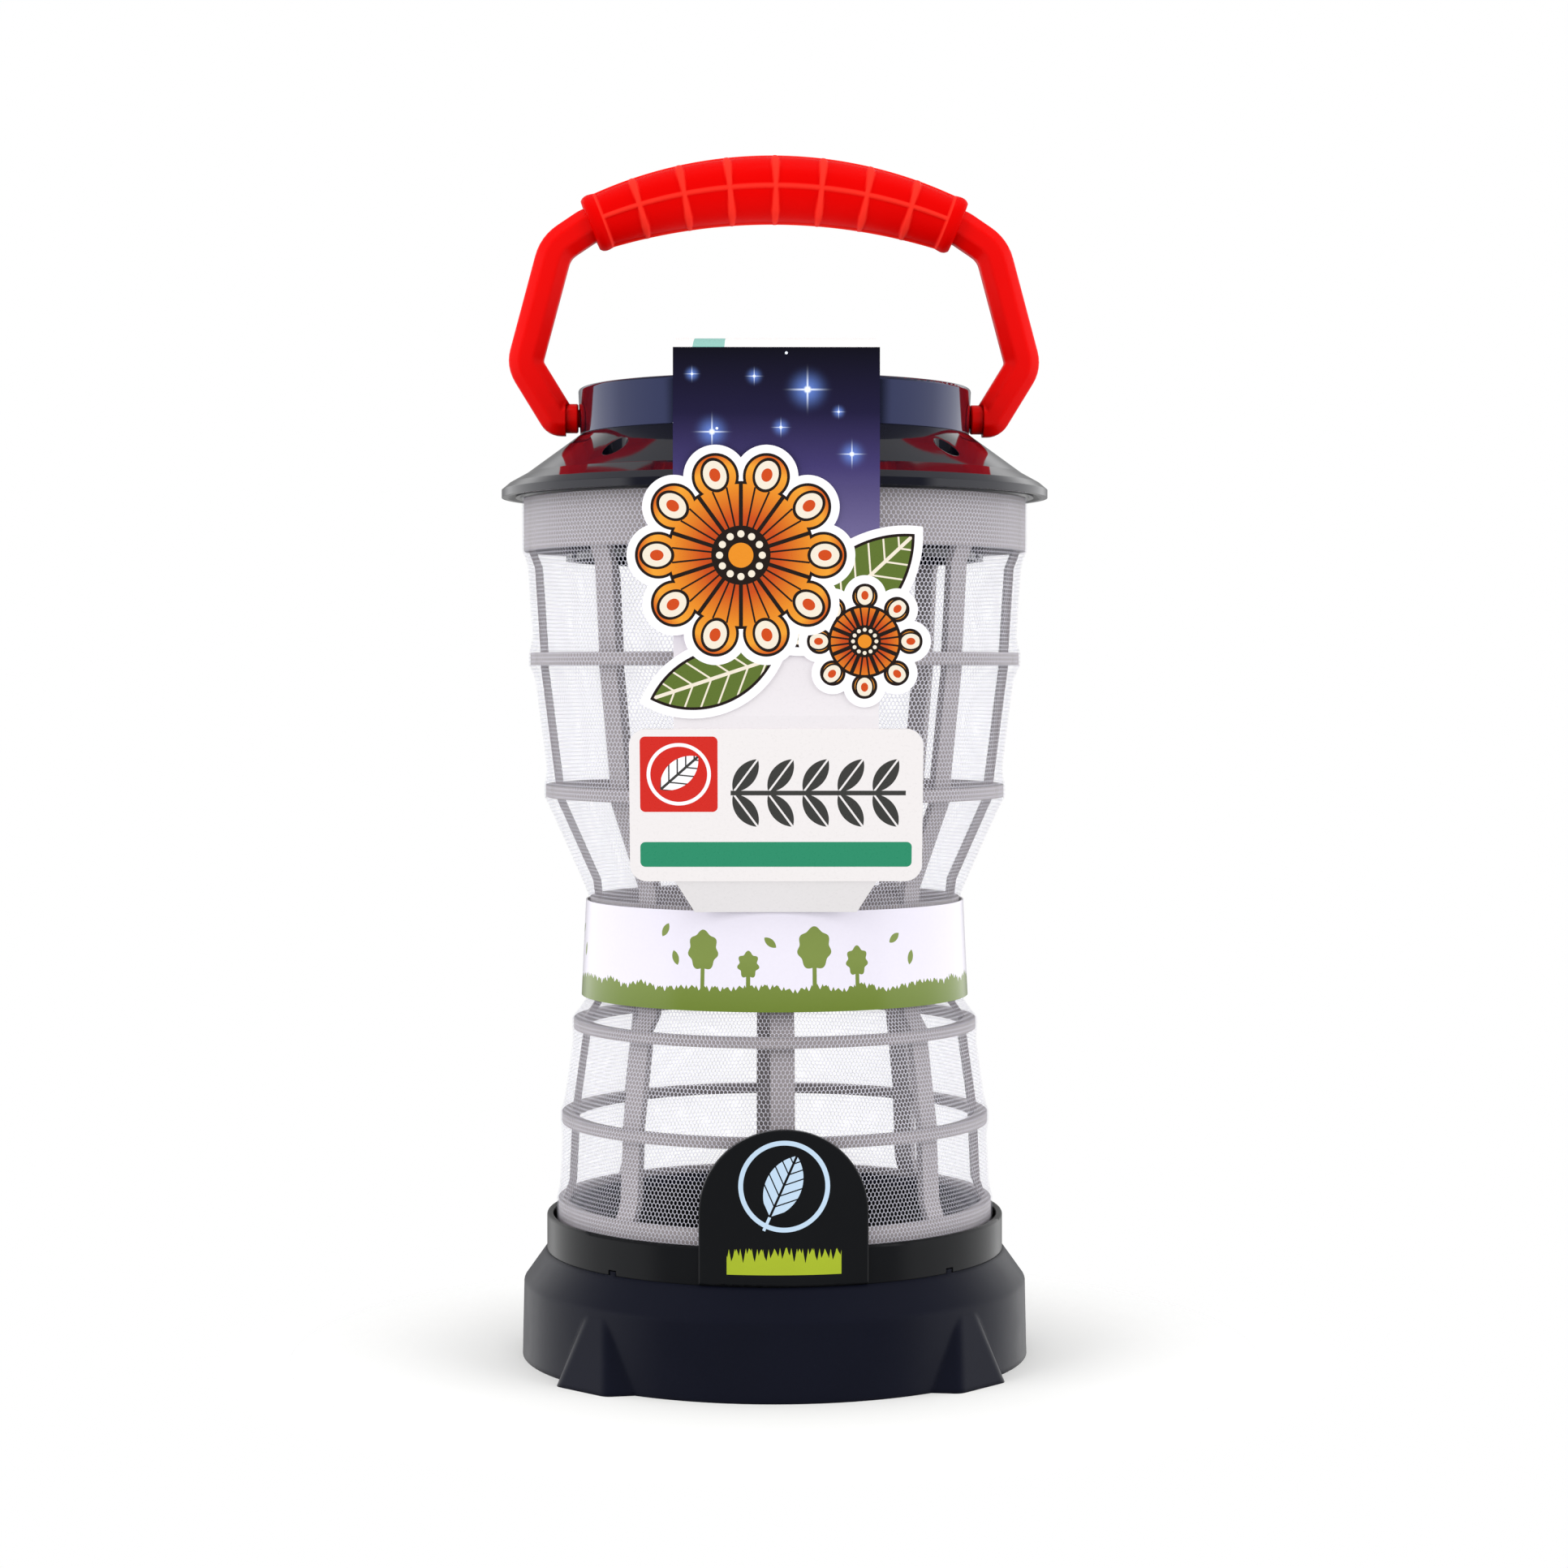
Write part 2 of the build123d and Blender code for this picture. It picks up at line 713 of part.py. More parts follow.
# Push-on clips on the axles, inside the drum
with BuildPart() as pivot_clips:
    for side in (1, -1):
        with BuildSketch(Plane(origin=(side * clip_face, 0, pivot_z), z_dir=(-side, 0, 0))):
            Circle(clip_radius)
            Circle(axle_radius + clip_fit, mode=Mode.SUBTRACT)
        extrude(amount=clip_width)
pivot_clips.part.label = "pivot_clips"
export_step(pivot_clips.part, "parts/pivot_clips.step")

# Grip sleeve: circles along the bail's arc, bored for the bar
grip_wire = grip_arc.line
with BuildPart() as grip_sleeve:
    for section in range(grip_sections):
        share = section / (grip_sections - 1)
        swell = 1 - (2 * share - 1) ** 2
        place = grip_margin + share * (1 - 2 * grip_margin)
        with BuildSketch(Plane(origin=grip_wire @ place, x_dir=(0, 1, 0), z_dir=grip_wire % place)):
            Circle(grip_end_radius + swell * (grip_middle_radius - grip_end_radius))
    loft()
    with BuildLine(Plane.XZ):
        add(grip_wire)
    with BuildSketch(Plane(origin=grip_wire @ 0, x_dir=(0, 1, 0), z_dir=grip_wire % 0)):
        RegularPolygon(bail_width / 2 + grip_fit, 8, major_radius=False, rotation=22.5)
    sweep(mode=Mode.SUBTRACT)
grip_sleeve.part.label = "grip_sleeve"
export_step(grip_sleeve.part, "parts/grip_sleeve.step")

# Paper band round the waist
band_bore = waist_radius + net_gap + net_thickness + band_gap
band_top_z = waist.high - band_top_drop
with BuildPart() as waist_band:
    with BuildSketch(Plane.XZ):
        with BuildLine():
            Polyline(
                (band_bore + band_step, waist.low),
                (band_bore + band_step + paper, waist.low),
                (band_bore + paper, band_top_z),
                (band_bore, band_top_z),
                close=True,
            )
        make_face()
    revolve(axis=Axis.Z)
waist_band.part.label = "waist_band"
export_step(waist_band.part, "parts/waist_band.step")

# Card strap: arched over the drum, past the brim, and in to the band, front and back alike
card_top_z = drum_top_z + card_lift
card_reach = brim_radius + card_gap
tab_z = band_top_z
tab_reach = band_bore + paper + tab_gap
plate_low_z = waist.high + plate_low_lift
plate_low_reach = waist_radius + plate_stand
# The plate leans out until it clears the net at each hoop above it
hoop_clear = net_gap + net_thickness + plate_clear
plate_slope = max(
    (ring.radius + hoop_clear - plate_low_reach) / ((ring.low + ring.high) / 2 - plate_low_z)
    for ring in (funnel_hoop, shoulder_hoop)
)
plate_high_z = plate_low_z + plate_height + picture_lift
plate_high_reach = plate_low_reach + plate_slope * (plate_high_z - plate_low_z)
side_line = [
    (tab_reach, tab_z),
    (plate_low_reach, plate_low_z),
    (plate_high_reach, plate_high_z),
    (card_reach, lid_z),
    (card_reach, card_top_z),
]
card_inside = [(-y, z) for y, z in side_line]
card_outside = [(-y - card, z) for y, z in side_line[:-1]]
card_outside.append((-card_reach - card, card_top_z + card))
# The card hangs turned a little about the cage's axis
card_x = Vector(1, 0, 0).rotate(Axis.Z, -card_turn)
card_y = Vector(0, 1, 0).rotate(Axis.Z, -card_turn)
with BuildPart() as card_strap:
    with BuildSketch(Plane(origin=(0, 0, 0), x_dir=card_y, z_dir=card_x)):
        with BuildLine():
            for front in (card_inside, card_outside):
                back = [(-y, z) for y, z in reversed(front)]
                Polyline(*front)
                ThreePointArc(front[-1], (0, front[-1][1] + card_crown), back[0])
                Polyline(*back)
            for side in (1, -1):
                Line((side * tab_reach, tab_z), (side * (tab_reach + card), tab_z))
        make_face()
    extrude(amount=strap_width / 2, both=True)
    # Corners cut off beside the tabs
    with BuildSketch(Plane(origin=(0, 0, 0), x_dir=card_x, z_dir=-card_y)):
        for side in (1, -1):
            with BuildLine():
                Polyline(
                    (side * tab_width / 2, tab_z),
                    (side * strap_width, tab_z),
                    (side * strap_width, plate_low_z),
                    (side * strap_width / 2, plate_low_z),
                    close=True,
                )
            make_face()
    extrude(amount=card_reach + card, both=True, mode=Mode.SUBTRACT)
card_strap.part.label = "card_strap"
export_step(card_strap.part, "parts/card_strap.step")


def card_plane(low_reach, low_z, high_reach, high_z):
    """Plane on the strap's front face between two levels, its origin at the lower one."""
    rise = card_y * (low_reach - high_reach) + Vector(0, 0, high_z - low_z)
    origin = Vector(0, 0, low_z) - card_y * (low_reach + card)
    return Plane(origin=origin, x_dir=card_x, z_dir=card_x.cross(rise))


# Label plate on the strap
with BuildPart() as label_plate:
    with BuildSketch(card_plane(plate_low_reach, plate_low_z, plate_high_reach, plate_high_z)):
        with Locations((0, plate_height / 2)):
            RectangleRounded(plate_width, plate_height, plate_corner)
    extrude(amount=card)
label_plate.part.label = "label_plate"
export_step(label_plate.part, "parts/label_plate.step")

# Die-cut picture on the strap
with BuildPart() as card_picture:
    with BuildSketch(card_plane(plate_high_reach, plate_high_z, card_reach, lid_z)):
        for place, ring, petal, count in zip(flower_places, flower_rings, petal_radii, petal_counts):
            with Locations(place):
                Circle(ring)
                with PolarLocations(ring, count):
                    Circle(petal)
        for leaf_tip in leaf_tips:
            root = Vector(*leaf_root)
            tip = Vector(*leaf_tip)
            belly = (root + tip) * 0.5
            half = (tip - root).rotate(Axis.Z, 90) * leaf_bulge
            with BuildLine():
                ThreePointArc(root, belly + half, tip)
                ThreePointArc(tip, belly - half, root)
            make_face()
    extrude(amount=card)
card_picture.part.label = "card_picture"
export_step(card_picture.part, "parts/card_picture.step")
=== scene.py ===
"""Looks of a lantern-shaped insect cage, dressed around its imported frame.

Metres, +Z up, the floor at z = 0 and the front at -Y. Sizes in the fields below are in millimetres.
"""

import json
import logging
import math
from abc import ABC, abstractmethod
from dataclasses import dataclass, replace
from enum import Enum
from typing import Callable, Sequence, Union

import bmesh
import bpy
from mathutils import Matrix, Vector


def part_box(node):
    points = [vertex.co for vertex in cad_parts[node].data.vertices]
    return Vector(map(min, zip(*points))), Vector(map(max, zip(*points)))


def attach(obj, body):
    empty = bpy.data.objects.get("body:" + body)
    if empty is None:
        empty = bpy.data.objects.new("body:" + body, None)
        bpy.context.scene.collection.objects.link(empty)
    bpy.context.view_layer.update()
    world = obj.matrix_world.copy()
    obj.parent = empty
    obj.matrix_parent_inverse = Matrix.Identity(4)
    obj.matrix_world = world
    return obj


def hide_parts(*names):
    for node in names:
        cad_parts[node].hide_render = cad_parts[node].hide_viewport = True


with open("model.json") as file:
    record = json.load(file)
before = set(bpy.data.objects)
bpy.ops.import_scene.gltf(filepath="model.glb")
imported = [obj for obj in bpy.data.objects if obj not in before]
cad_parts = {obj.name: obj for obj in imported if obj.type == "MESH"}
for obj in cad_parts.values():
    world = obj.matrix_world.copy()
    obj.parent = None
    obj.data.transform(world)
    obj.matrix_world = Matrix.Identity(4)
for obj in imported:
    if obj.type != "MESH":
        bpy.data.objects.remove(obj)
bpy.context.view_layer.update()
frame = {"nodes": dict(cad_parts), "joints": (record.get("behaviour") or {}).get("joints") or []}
MM = 0.001
# Lengths in millimetres under which points are one and edges are nothing
WELD = 0.002
SLIVER = 0.001
FULL_TURN = 2 * math.pi
log = logging.getLogger("insect_cage")

Number = Union["Signal", float]
Point2 = tuple[float, float]
Shade = tuple[int, int, int]
Linear = tuple[float, float, float, float]
Stops = tuple[tuple[float, Shade], ...]

# Names that a mesh and the finish on it share
KNIT_MAP = "knit"
RIDGE_HIGHLIGHT_MASK = "ridge"


def linear_light(shade: Shade) -> Linear:
    """An 8-bit display colour as linear light, with full opacity.

    Args:
        shade: Red, green and blue, from 0 to 255.

    Returns:
        The colour as a shader takes it.
    """
    shares = [value / 255 for value in shade]
    red, green, blue = (s / 12.92 if s <= 0.04045 else ((s + 0.055) / 1.055) ** 2.4 for s in shares)
    return (red, green, blue, 1.0)


class Paint(Enum):
    """Colours of the mouldings, fabrics and prints, and one painted highlight, as 8-bit display values."""

    BASE_NAVY = (17, 19, 31)
    PAN_BLACK = (17, 17, 19)
    COLLAR_BLACK = (21, 22, 24)
    FRAME_GREY = (142, 136, 138)
    NET_WHITE = (242, 241, 255)
    LID_NAVY = (17, 18, 29)
    STEEL = (186, 187, 191)
    BAIL_RED = (221, 3, 1)
    GRIP_RED = (212, 1, 0)
    # painted highlight: the lighter red that stands in for light on the grip's ridges
    RIDGE_HIGHLIGHT_RED = (238, 46, 34)
    PAPER_WHITE = (244, 242, 246)
    BAND_LILAC = (226, 222, 234)
    CARD_GREY = (232, 228, 228)
    CARD_BACK = (214, 208, 200)
    INK = (36, 26, 22)
    AMBER = (226, 138, 26)
    DEEP_ORANGE = (202, 70, 14)
    CREAM = (232, 222, 204)
    LEAF_GREEN = (92, 112, 44)
    LABEL_RED = (208, 38, 28)
    LABEL_GREEN = (42, 140, 104)
    LABEL_INK = (62, 62, 60)
    TEAL = (120, 196, 184)
    EMBLEM_BLUE = (182, 204, 224)
    LIME = (156, 172, 44)
    STAR_BLUE = (120, 160, 255)
    STAR_WHITE = (236, 244, 255)
    CARD_TOP = (252, 252, 251)
    FLOOR_WHITE = (241, 241, 240)

    @property
    def linear(self) -> Linear:
        """The colour as linear light."""
        return linear_light(self.value)


class Signal:
    """A value or colour that varies over a surface, carried by a socket of a node tree."""

    def __init__(self, graph: "Graph", socket: bpy.types.NodeSocket) -> None:
        """Keep the tree and the socket."""
        self.graph = graph
        self.socket = socket

    def __add__(self, other: Number) -> "Signal":
        """Sum."""
        return self.graph.math("ADD", self, other)

    def __sub__(self, other: Number) -> "Signal":
        """Difference."""
        return self.graph.math("SUBTRACT", self, other)

    def __rsub__(self, other: Number) -> "Signal":
        """Difference from a plain number."""
        return self.graph.math("SUBTRACT", other, self)

    def __mul__(self, other: Number) -> "Signal":
        """Product."""
        return self.graph.math("MULTIPLY", self, other)

    def __truediv__(self, other: Number) -> "Signal":
        """Quotient."""
        return self.graph.math("DIVIDE", self, other)

    __radd__ = __add__
    __rmul__ = __mul__

    def abs(self) -> "Signal":
        """Size without sign."""
        return self.graph.math("ABSOLUTE", self)

    def sin(self) -> "Signal":
        """Sine of an angle in radians."""
        return self.graph.math("SINE", self)

    def cos(self) -> "Signal":
        """Cosine of an angle in radians."""
        return self.graph.math("COSINE", self)

    def wrap(self, period: float) -> "Signal":
        """Offset from the nearest multiple of a period."""
        return self.graph.math("WRAP", self, period / 2, -period / 2)

    def below(self, limit: Number) -> "Signal":
        """1 where the value is under a limit, otherwise 0."""
        return self.graph.math("LESS_THAN", self, limit)

    def above(self, limit: Number) -> "Signal":
        """1 where the value is over a limit, otherwise 0."""
        return self.graph.math("GREATER_THAN", self, limit)

    def fade(self, start: float, end: float) -> "Signal":
        """Smooth step from 0 to 1.

        Args:
            start: The value at which it leaves 0.
            end: The value at which it reaches 1.

        Returns:
            The step.
        """
        node = self.graph.add("ShaderNodeMapRange", interpolation_type="SMOOTHSTEP")
        self.graph.wire(node, Value=self, From_Min=start, From_Max=end)
        return Signal(self.graph, node.outputs["Result"])


class Graph:
    """A node tree under construction, of a material, a shader group or a geometry group."""

    def __init__(self, tree: bpy.types.NodeTree) -> None:
        """Start from an empty tree."""
        self.tree = tree
        tree.nodes.clear()

    def add(self, kind: str, **settings: object) -> bpy.types.Node:
        """Place a node.

        Args:
            kind: The node's type name.
            **settings: Properties of the node.

        Returns:
            The new node.
        """
        node = self.tree.nodes.new(kind)
        for name, value in settings.items():
            setattr(node, name, value)
        return node

    def feed(self, socket: bpy.types.NodeSocket, value: object) -> None:
        """Link a signal to an input, or set the input to a plain value.

        Args:
            socket: The input.
            value: A signal, or a value of the socket's own kind.
        """
        if isinstance(value, Signal):
            self.tree.links.new(value.socket, socket)
        else:
            socket.default_value = value

    def wire(self, node: bpy.types.Node, **inputs: object) -> bpy.types.Node:
        """Feed a node's inputs by name.

        Args:
            node: The node.
            **inputs: Signals or plain values by input name, with underscores for spaces.

        Returns:
            The node.
        """
        for name, value in inputs.items():
            self.feed(node.inputs[name.replace("_", " ")], value)
        return node

    def read(self, kind: str, output: Union[str, int] = 0, **settings: object) -> Signal:
        """One output of a new node that is fed by nothing."""
        return Signal(self, self.add(kind, **settings).outputs[output])

    def math(self, operation: str, *values: Number) -> Signal:
        """Place a maths node.

        Args:
            operation: The operation's name.
            *values: Signals or numbers, in the order of the node's inputs.

        Returns:
            The result.
        """
        node = self.add("ShaderNodeMath", operation=operation)
        for socket, value in zip(node.inputs, values):
            self.feed(socket, value)
        return Signal(self, node.outputs[0])

    def hypot(self, across: Number, up: Number) -> Signal:
        """Length of a flat vector."""
        return self.math("SQRT", self.math("MULTIPLY", across, across) + self.math("MULTIPLY", up, up))

    def least(self, first: Number, second: Number) -> Signal:
        """The smaller of two values."""
        return self.math("MINIMUM", first, second)

    def most(self, first: Number, second: Number) -> Signal:
        """The larger of two values."""
        return self.math("MAXIMUM", first, second)

    def split(self, vector: Signal, scale: float = 1.0) -> list[Signal]:
        """Parts of a vector, each times a scale."""
        node = self.wire(self.add("ShaderNodeSeparateXYZ"), Vector=vector)
        return [Signal(self, output) * scale for output in node.outputs]

    def combine(self, x: Number = 0.0, y: Number = 0.0, z: Number = 0.0) -> Signal:
        """A vector from its parts."""
        return Signal(self, self.wire(self.add("ShaderNodeCombineXYZ"), X=x, Y=y, Z=z).outputs[0])

    def object_vector(self) -> Signal:
        """Place on the object, in metres."""
        return self.read("ShaderNodeTexCoord", "Object")

    def place(self, turn: float = 0.0) -> list[Signal]:
        """Place on the object in millimetres, in axes turned about Z.

        Args:
            turn: Angle of the axes in degrees.

        Returns:
            The three coordinates.
        """
        x, y, z = self.split(self.object_vector(), 1 / MM)
        if not turn:
            return [x, y, z]
        cos, sin = math.cos(math.radians(turn)), math.sin(math.radians(turn))
        return [x * cos + y * sin, y * cos - x * sin, z]

    def facing(self) -> list[Signal]:
        """Parts of the surface's own normal."""
        return self.split(self.read("ShaderNodeNewGeometry", "Normal"))

    def noise(self, vector: Signal, scale: float, detail: float = 2.0) -> Signal:
        """Fractal noise around 0.5 at so many waves for each unit of the place."""
        node = self.wire(self.add("ShaderNodeTexNoise"), Vector=vector, Scale=scale, Detail=detail)
        return Signal(self, node.outputs["Fac"])

    def grained(self, vector: Signal, scale: float, detail: float, amount: Number) -> Signal:
        """Fractal noise around 0, times an amount."""
        return (self.noise(vector, scale, detail) - 0.5) * amount

    def colour(self, paint: Paint) -> Signal:
        """A plain colour to paint over.

        Args:
            paint: The colour.

        Returns:
            The colour as a signal.
        """
        made = self.read("ShaderNodeRGB")
        made.socket.default_value = paint.linear
        return made

    def toned(self, colour: Signal, change: Signal) -> Signal:
        """A colour made lighter or darker by a share that varies around 0."""
        node = self.wire(self.add("ShaderNodeHueSaturation"), Value=change + 1.0, Color=colour)
        return Signal(self, node.outputs["Color"])

    def layer(self, under: Signal, over: Union[Signal, Paint], mask: Number) -> Signal:
        """Paint one colour over another.

        Args:
            under: The colour so far.
            over: A colour signal or a paint.
            mask: Where the new colour covers, from 0 to 1.

        Returns:
            The mixed colour.
        """
        factor, first, second, result = 0, 6, 7, 2
        node = self.add("ShaderNodeMix", data_type="RGBA")
        self.feed(node.inputs[factor], mask)
        self.feed(node.inputs[first], under)
        self.feed(node.inputs[second], over.linear if isinstance(over, Paint) else over)
        return Signal(self, node.outputs[result])

    def ramp(self, value: Signal, stops: Stops) -> Signal:
        """Colour along a scale.

        Args:
            value: The place on the scale, from 0 to 1.
            stops: Places and 8-bit display colours, in order.

        Returns:
            The colour.
        """
        node = self.wire(self.add("ShaderNodeValToRGB"), Fac=value)
        elements = node.color_ramp.elements
        while len(elements) < len(stops):
            elements.new(0.5)
        for element, (place, shade) in zip(elements, stops):
            element.position = place
            element.color = linear_light(shade)
        return Signal(self, node.outputs[0])

    def group(self, tree: bpy.types.NodeTree, **inputs: object) -> dict[str, Signal]:
        """Place a shader group.

        Args:
            tree: The group.
            **inputs: Its inputs by name, with underscores for spaces.

        Returns:
            Its outputs by name.
        """
        node = self.wire(self.add("ShaderNodeGroup", node_tree=tree), **inputs)
        return {output.name: Signal(self, output) for output in node.outputs}

    def shape(self, kind: str, **inputs: object) -> Signal:
        """The mesh that a new geometry node puts out."""
        return Signal(self, self.wire(self.add(kind), **inputs).outputs[0])

    def hand_out(self, out: bpy.types.Node, mesh: Signal, finish: Signal) -> None:
        """End a geometry group: make its instances real, set their finish and put them out.

        Args:
            out: The node that takes the group's outputs.
            mesh: The mesh or its instances.
            finish: The material.
        """
        solid = self.shape("GeometryNodeRealizeInstances", Geometry=mesh)
        self.wire(out, Geometry=self.shape("GeometryNodeSetMaterial", Geometry=solid, Material=finish))


def group_graph(
    name: str, kind: str, inputs: dict[str, str], outputs: dict[str, str]
) -> tuple[Graph, dict[str, Signal], bpy.types.Node]:
    """Start a node group with named sockets.

    Args:
        name: The group's name.
        kind: The tree's type name.
        inputs: Socket types by input name.
        outputs: Socket types by output name.

    Returns:
        The graph, its inputs as signals, and the node that takes its outputs.
    """
    tree = bpy.data.node_groups.new(name, kind)
    for socket, form in inputs.items():
        tree.interface.new_socket(socket, in_out="INPUT", socket_type=form)
    for socket, form in outputs.items():
        tree.interface.new_socket(socket, in_out="OUTPUT", socket_type=form)
    graph = Graph(tree)
    source = graph.add("NodeGroupInput")
    signals = {socket: Signal(graph, source.outputs[socket]) for socket in inputs}
    return graph, signals, graph.add("NodeGroupOutput")


VALUE = "NodeSocketFloat"
COLOUR = "NodeSocketColor"
VECTOR = "NodeSocketVector"
COUNT = "NodeSocketInt"


def geometry_graph(
    name: str, sizes: dict[str, str]
) -> tuple[Graph, dict[str, Signal], bpy.types.Node]:
    """Start a geometry group that takes sizes and a finish, and puts out a mesh.

    Args:
        name: The group's name.
        sizes: Socket types by input name.

    Returns:
        The graph, its inputs as signals, and the node that takes its output.
    """
    inputs = {**sizes, "Finish": "NodeSocketMaterial"}
    return group_graph(name, "GeometryNodeTree", inputs, {"Geometry": "NodeSocketGeometry"})


class Effects:
    """Shader groups that several finishes share."""

    def __init__(self) -> None:
        """Build each group once."""
        self.moulding = self._moulding()
        self.card = self._card()
        self.grass = self._grass()

    @staticmethod
    def _moulding() -> bpy.types.NodeTree:
        """Moulded plastic: cloudy colour, handling marks in the gloss, and a fine grain.

        Returns:
            The group.
        """
        broad, smear, fine = 55.0, 140.0, 3200.0
        g, given, out = group_graph(
            "moulded_surface",
            "ShaderNodeTree",
            {"Place": VECTOR, "Colour": COLOUR, "Cloud": VALUE, "Roughness": VALUE, "Smear": VALUE},
            {"Colour": COLOUR, "Roughness": VALUE, "Height": VALUE},
        )
        place = given["Place"]
        g.wire(
            out,
            Colour=g.toned(given["Colour"], g.grained(place, broad, 2.0, given["Cloud"])),
            Roughness=given["Roughness"] + g.grained(place, smear, 4.0, given["Smear"]),
            Height=g.noise(place, fine),
        )
        return g.tree

    @staticmethod
    def _card() -> bpy.types.NodeTree:
        """Printed card: faint fibres in the colour and a lightly waved varnish.

        Returns:
            The group.
        """
        fibre, wave = 1500.0, 90.0
        g, given, out = group_graph(
            "printed_card",
            "ShaderNodeTree",
            {"Place": VECTOR, "Colour": COLOUR, "Fibre": VALUE, "Roughness": VALUE},
            {"Colour": COLOUR, "Roughness": VALUE, "Height": VALUE},
        )
        place = given["Place"]
        speck = g.grained(place, fibre, 3.0, given["Fibre"])
        g.wire(
            out,
            Colour=g.toned(given["Colour"], speck),
            Roughness=given["Roughness"] + speck,
            Height=g.noise(place, wave),
        )
        return g.tree

    @staticmethod
    def _grass() -> bpy.types.NodeTree:
        """Grass: mask under a ragged line of blades, from a place along it and a height over its foot.

        Returns:
            The group.
        """
        coarse, fine, tuft, short = 2.9, 1.3, 0.09, 0.5
        g, given, out = group_graph(
            "grass_edge",
            "ShaderNodeTree",
            {"Along": VALUE, "Up": VALUE, "Turf": VALUE, "Blades": VALUE},
            {"Mask": VALUE},
        )
        along = given["Along"]
        row = g.combine(along)
        swell = g.noise(row, tuft, 1.0) + 0.5
        ragged = g.noise(row, 1 / coarse)
        long_blades = 1.0 - along.wrap(coarse).abs() * (2 / coarse)
        short_blades = 1.0 - along.wrap(fine).abs() * (2 / fine)
        tops = g.most(long_blades * ragged, short_blades * short) * given["Blades"]
        g.wire(out, Mask=given["Up"].below(given["Turf"] * swell + tops))
        return g.tree


class Finish(ABC):
    """A finish that becomes one material."""

    name: str

    @abstractmethod
    def dress(self, g: Graph, shader: bpy.types.Node) -> None:
        """Feed the shader's sockets.

        Args:
            g: The material's graph.
            shader: The Principled shader.
        """

    def material(self) -> bpy.types.Material:
        """The finish as a material with a Principled shader.

        Returns:
            The material.
        """
        made = bpy.data.materials.new(self.name)
        made.use_nodes = True
        g = Graph(made.node_tree)
        output = g.add("ShaderNodeOutputMaterial")
        shader = g.add("ShaderNodeBsdfPrincipled")
        self.dress(g, shader)
        g.wire(output, Surface=Signal(g, shader.outputs[0]))
        return made


def relief(g: Graph, shader: bpy.types.Node, height: Signal, depth: float, edge: float = 0.0) -> None:
    """Feed the shader's normal from a height, over softened edges.

    Args:
        g: The material's graph.
        shader: The Principled shader.
        height: The height signal.
        depth: What a height of 1 stands for, in millimetres.
        edge: Radius of the softened edges in millimetres, or 0.
    """
    bump = g.wire(g.add("ShaderNodeBump"), Distance=depth * MM, Height=height)
    if edge:
        soft = g.wire(g.add("ShaderNodeBevel", samples=4), Radius=edge * MM)
        g.wire(bump, Normal=Signal(g, soft.outputs[0]))
    g.wire(shader, Normal=Signal(g, bump.outputs[0]))


@dataclass(frozen=True)
class Leaf:
    """A printed leaf between two arcs, with a midrib and slanting veins.

    Its angle is in degrees from the first axis, and its bulge is half its width as a share of its length.
    """

    root: Point2
    angle: float
    length: float
    bulge: float
    vein_pitch: float = 2.6
    vein_slope: float = 0.9
    vein: float = 0.2
    midrib: float = 0.3

    def lay(self, x: Signal, up: Signal) -> tuple[Signal, Signal]:
        """Offsets from the leaf's root.

        Args:
            x: Place across the print.
            up: Place up the print.

        Returns:
            Offsets across and along the leaf.
        """
        cos, sin = math.cos(math.radians(self.angle)), math.sin(math.radians(self.angle))
        right, rise = x - self.root[0], up - self.root[1]
        return rise * cos - right * sin, right * cos + rise * sin

    def edge(self, across: Signal, along: Signal) -> Signal:
        """Signed distance to the leaf's outline.

        Args:
            across: Offset from the midrib.
            along: Offset from the root towards the tip.

        Returns:
            The distance, below 0 inside.
        """
        half = self.bulge * self.length
        radius = (half**2 + self.length**2 / 4) / (2 * half)
        return across.graph.hypot(along - self.length / 2, across.abs() + (radius - half)) - radius

    def veins(self, across: Signal, along: Signal) -> Signal:
        """Mask of the midrib and the veins."""
        slanting = (along - across.abs() * self.vein_slope).wrap(self.vein_pitch).abs()
        return across.graph.most(across.abs().below(self.midrib), slanting.below(self.vein))


@dataclass(frozen=True)
class Moulded(Finish):
    """Injection-moulded plastic."""

    name: str
    paint: Paint
    effects: Effects
    roughness: float = 0.45
    smear: float = 0.1
    cloud: float = 0.1
    grain: float = 0.01
    edge: float = 0.25
    gloss: float = 0.5
    tint: tuple[float, float, float] = (1.0, 1.0, 1.0)

    def print_over(self, g: Graph, colour: Signal) -> Signal:
        """Add any print to the plastic's colour."""
        return colour

    def dress(self, g: Graph, shader: bpy.types.Node) -> None:
        """Feed the shader's sockets.

        Args:
            g: The material's graph.
            shader: The Principled shader.
        """
        surface = g.group(
            self.effects.moulding,
            Place=g.object_vector(),
            Colour=self.print_over(g, g.colour(self.paint)),
            Cloud=self.cloud,
            Roughness=self.roughness,
            Smear=self.smear,
        )
        g.wire(
            shader,
            Base_Color=surface["Colour"],
            Roughness=surface["Roughness"],
            Specular_IOR_Level=self.gloss,
            Specular_Tint=(*self.tint, 1.0),
        )
        relief(g, shader, surface["Height"], self.grain, self.edge)


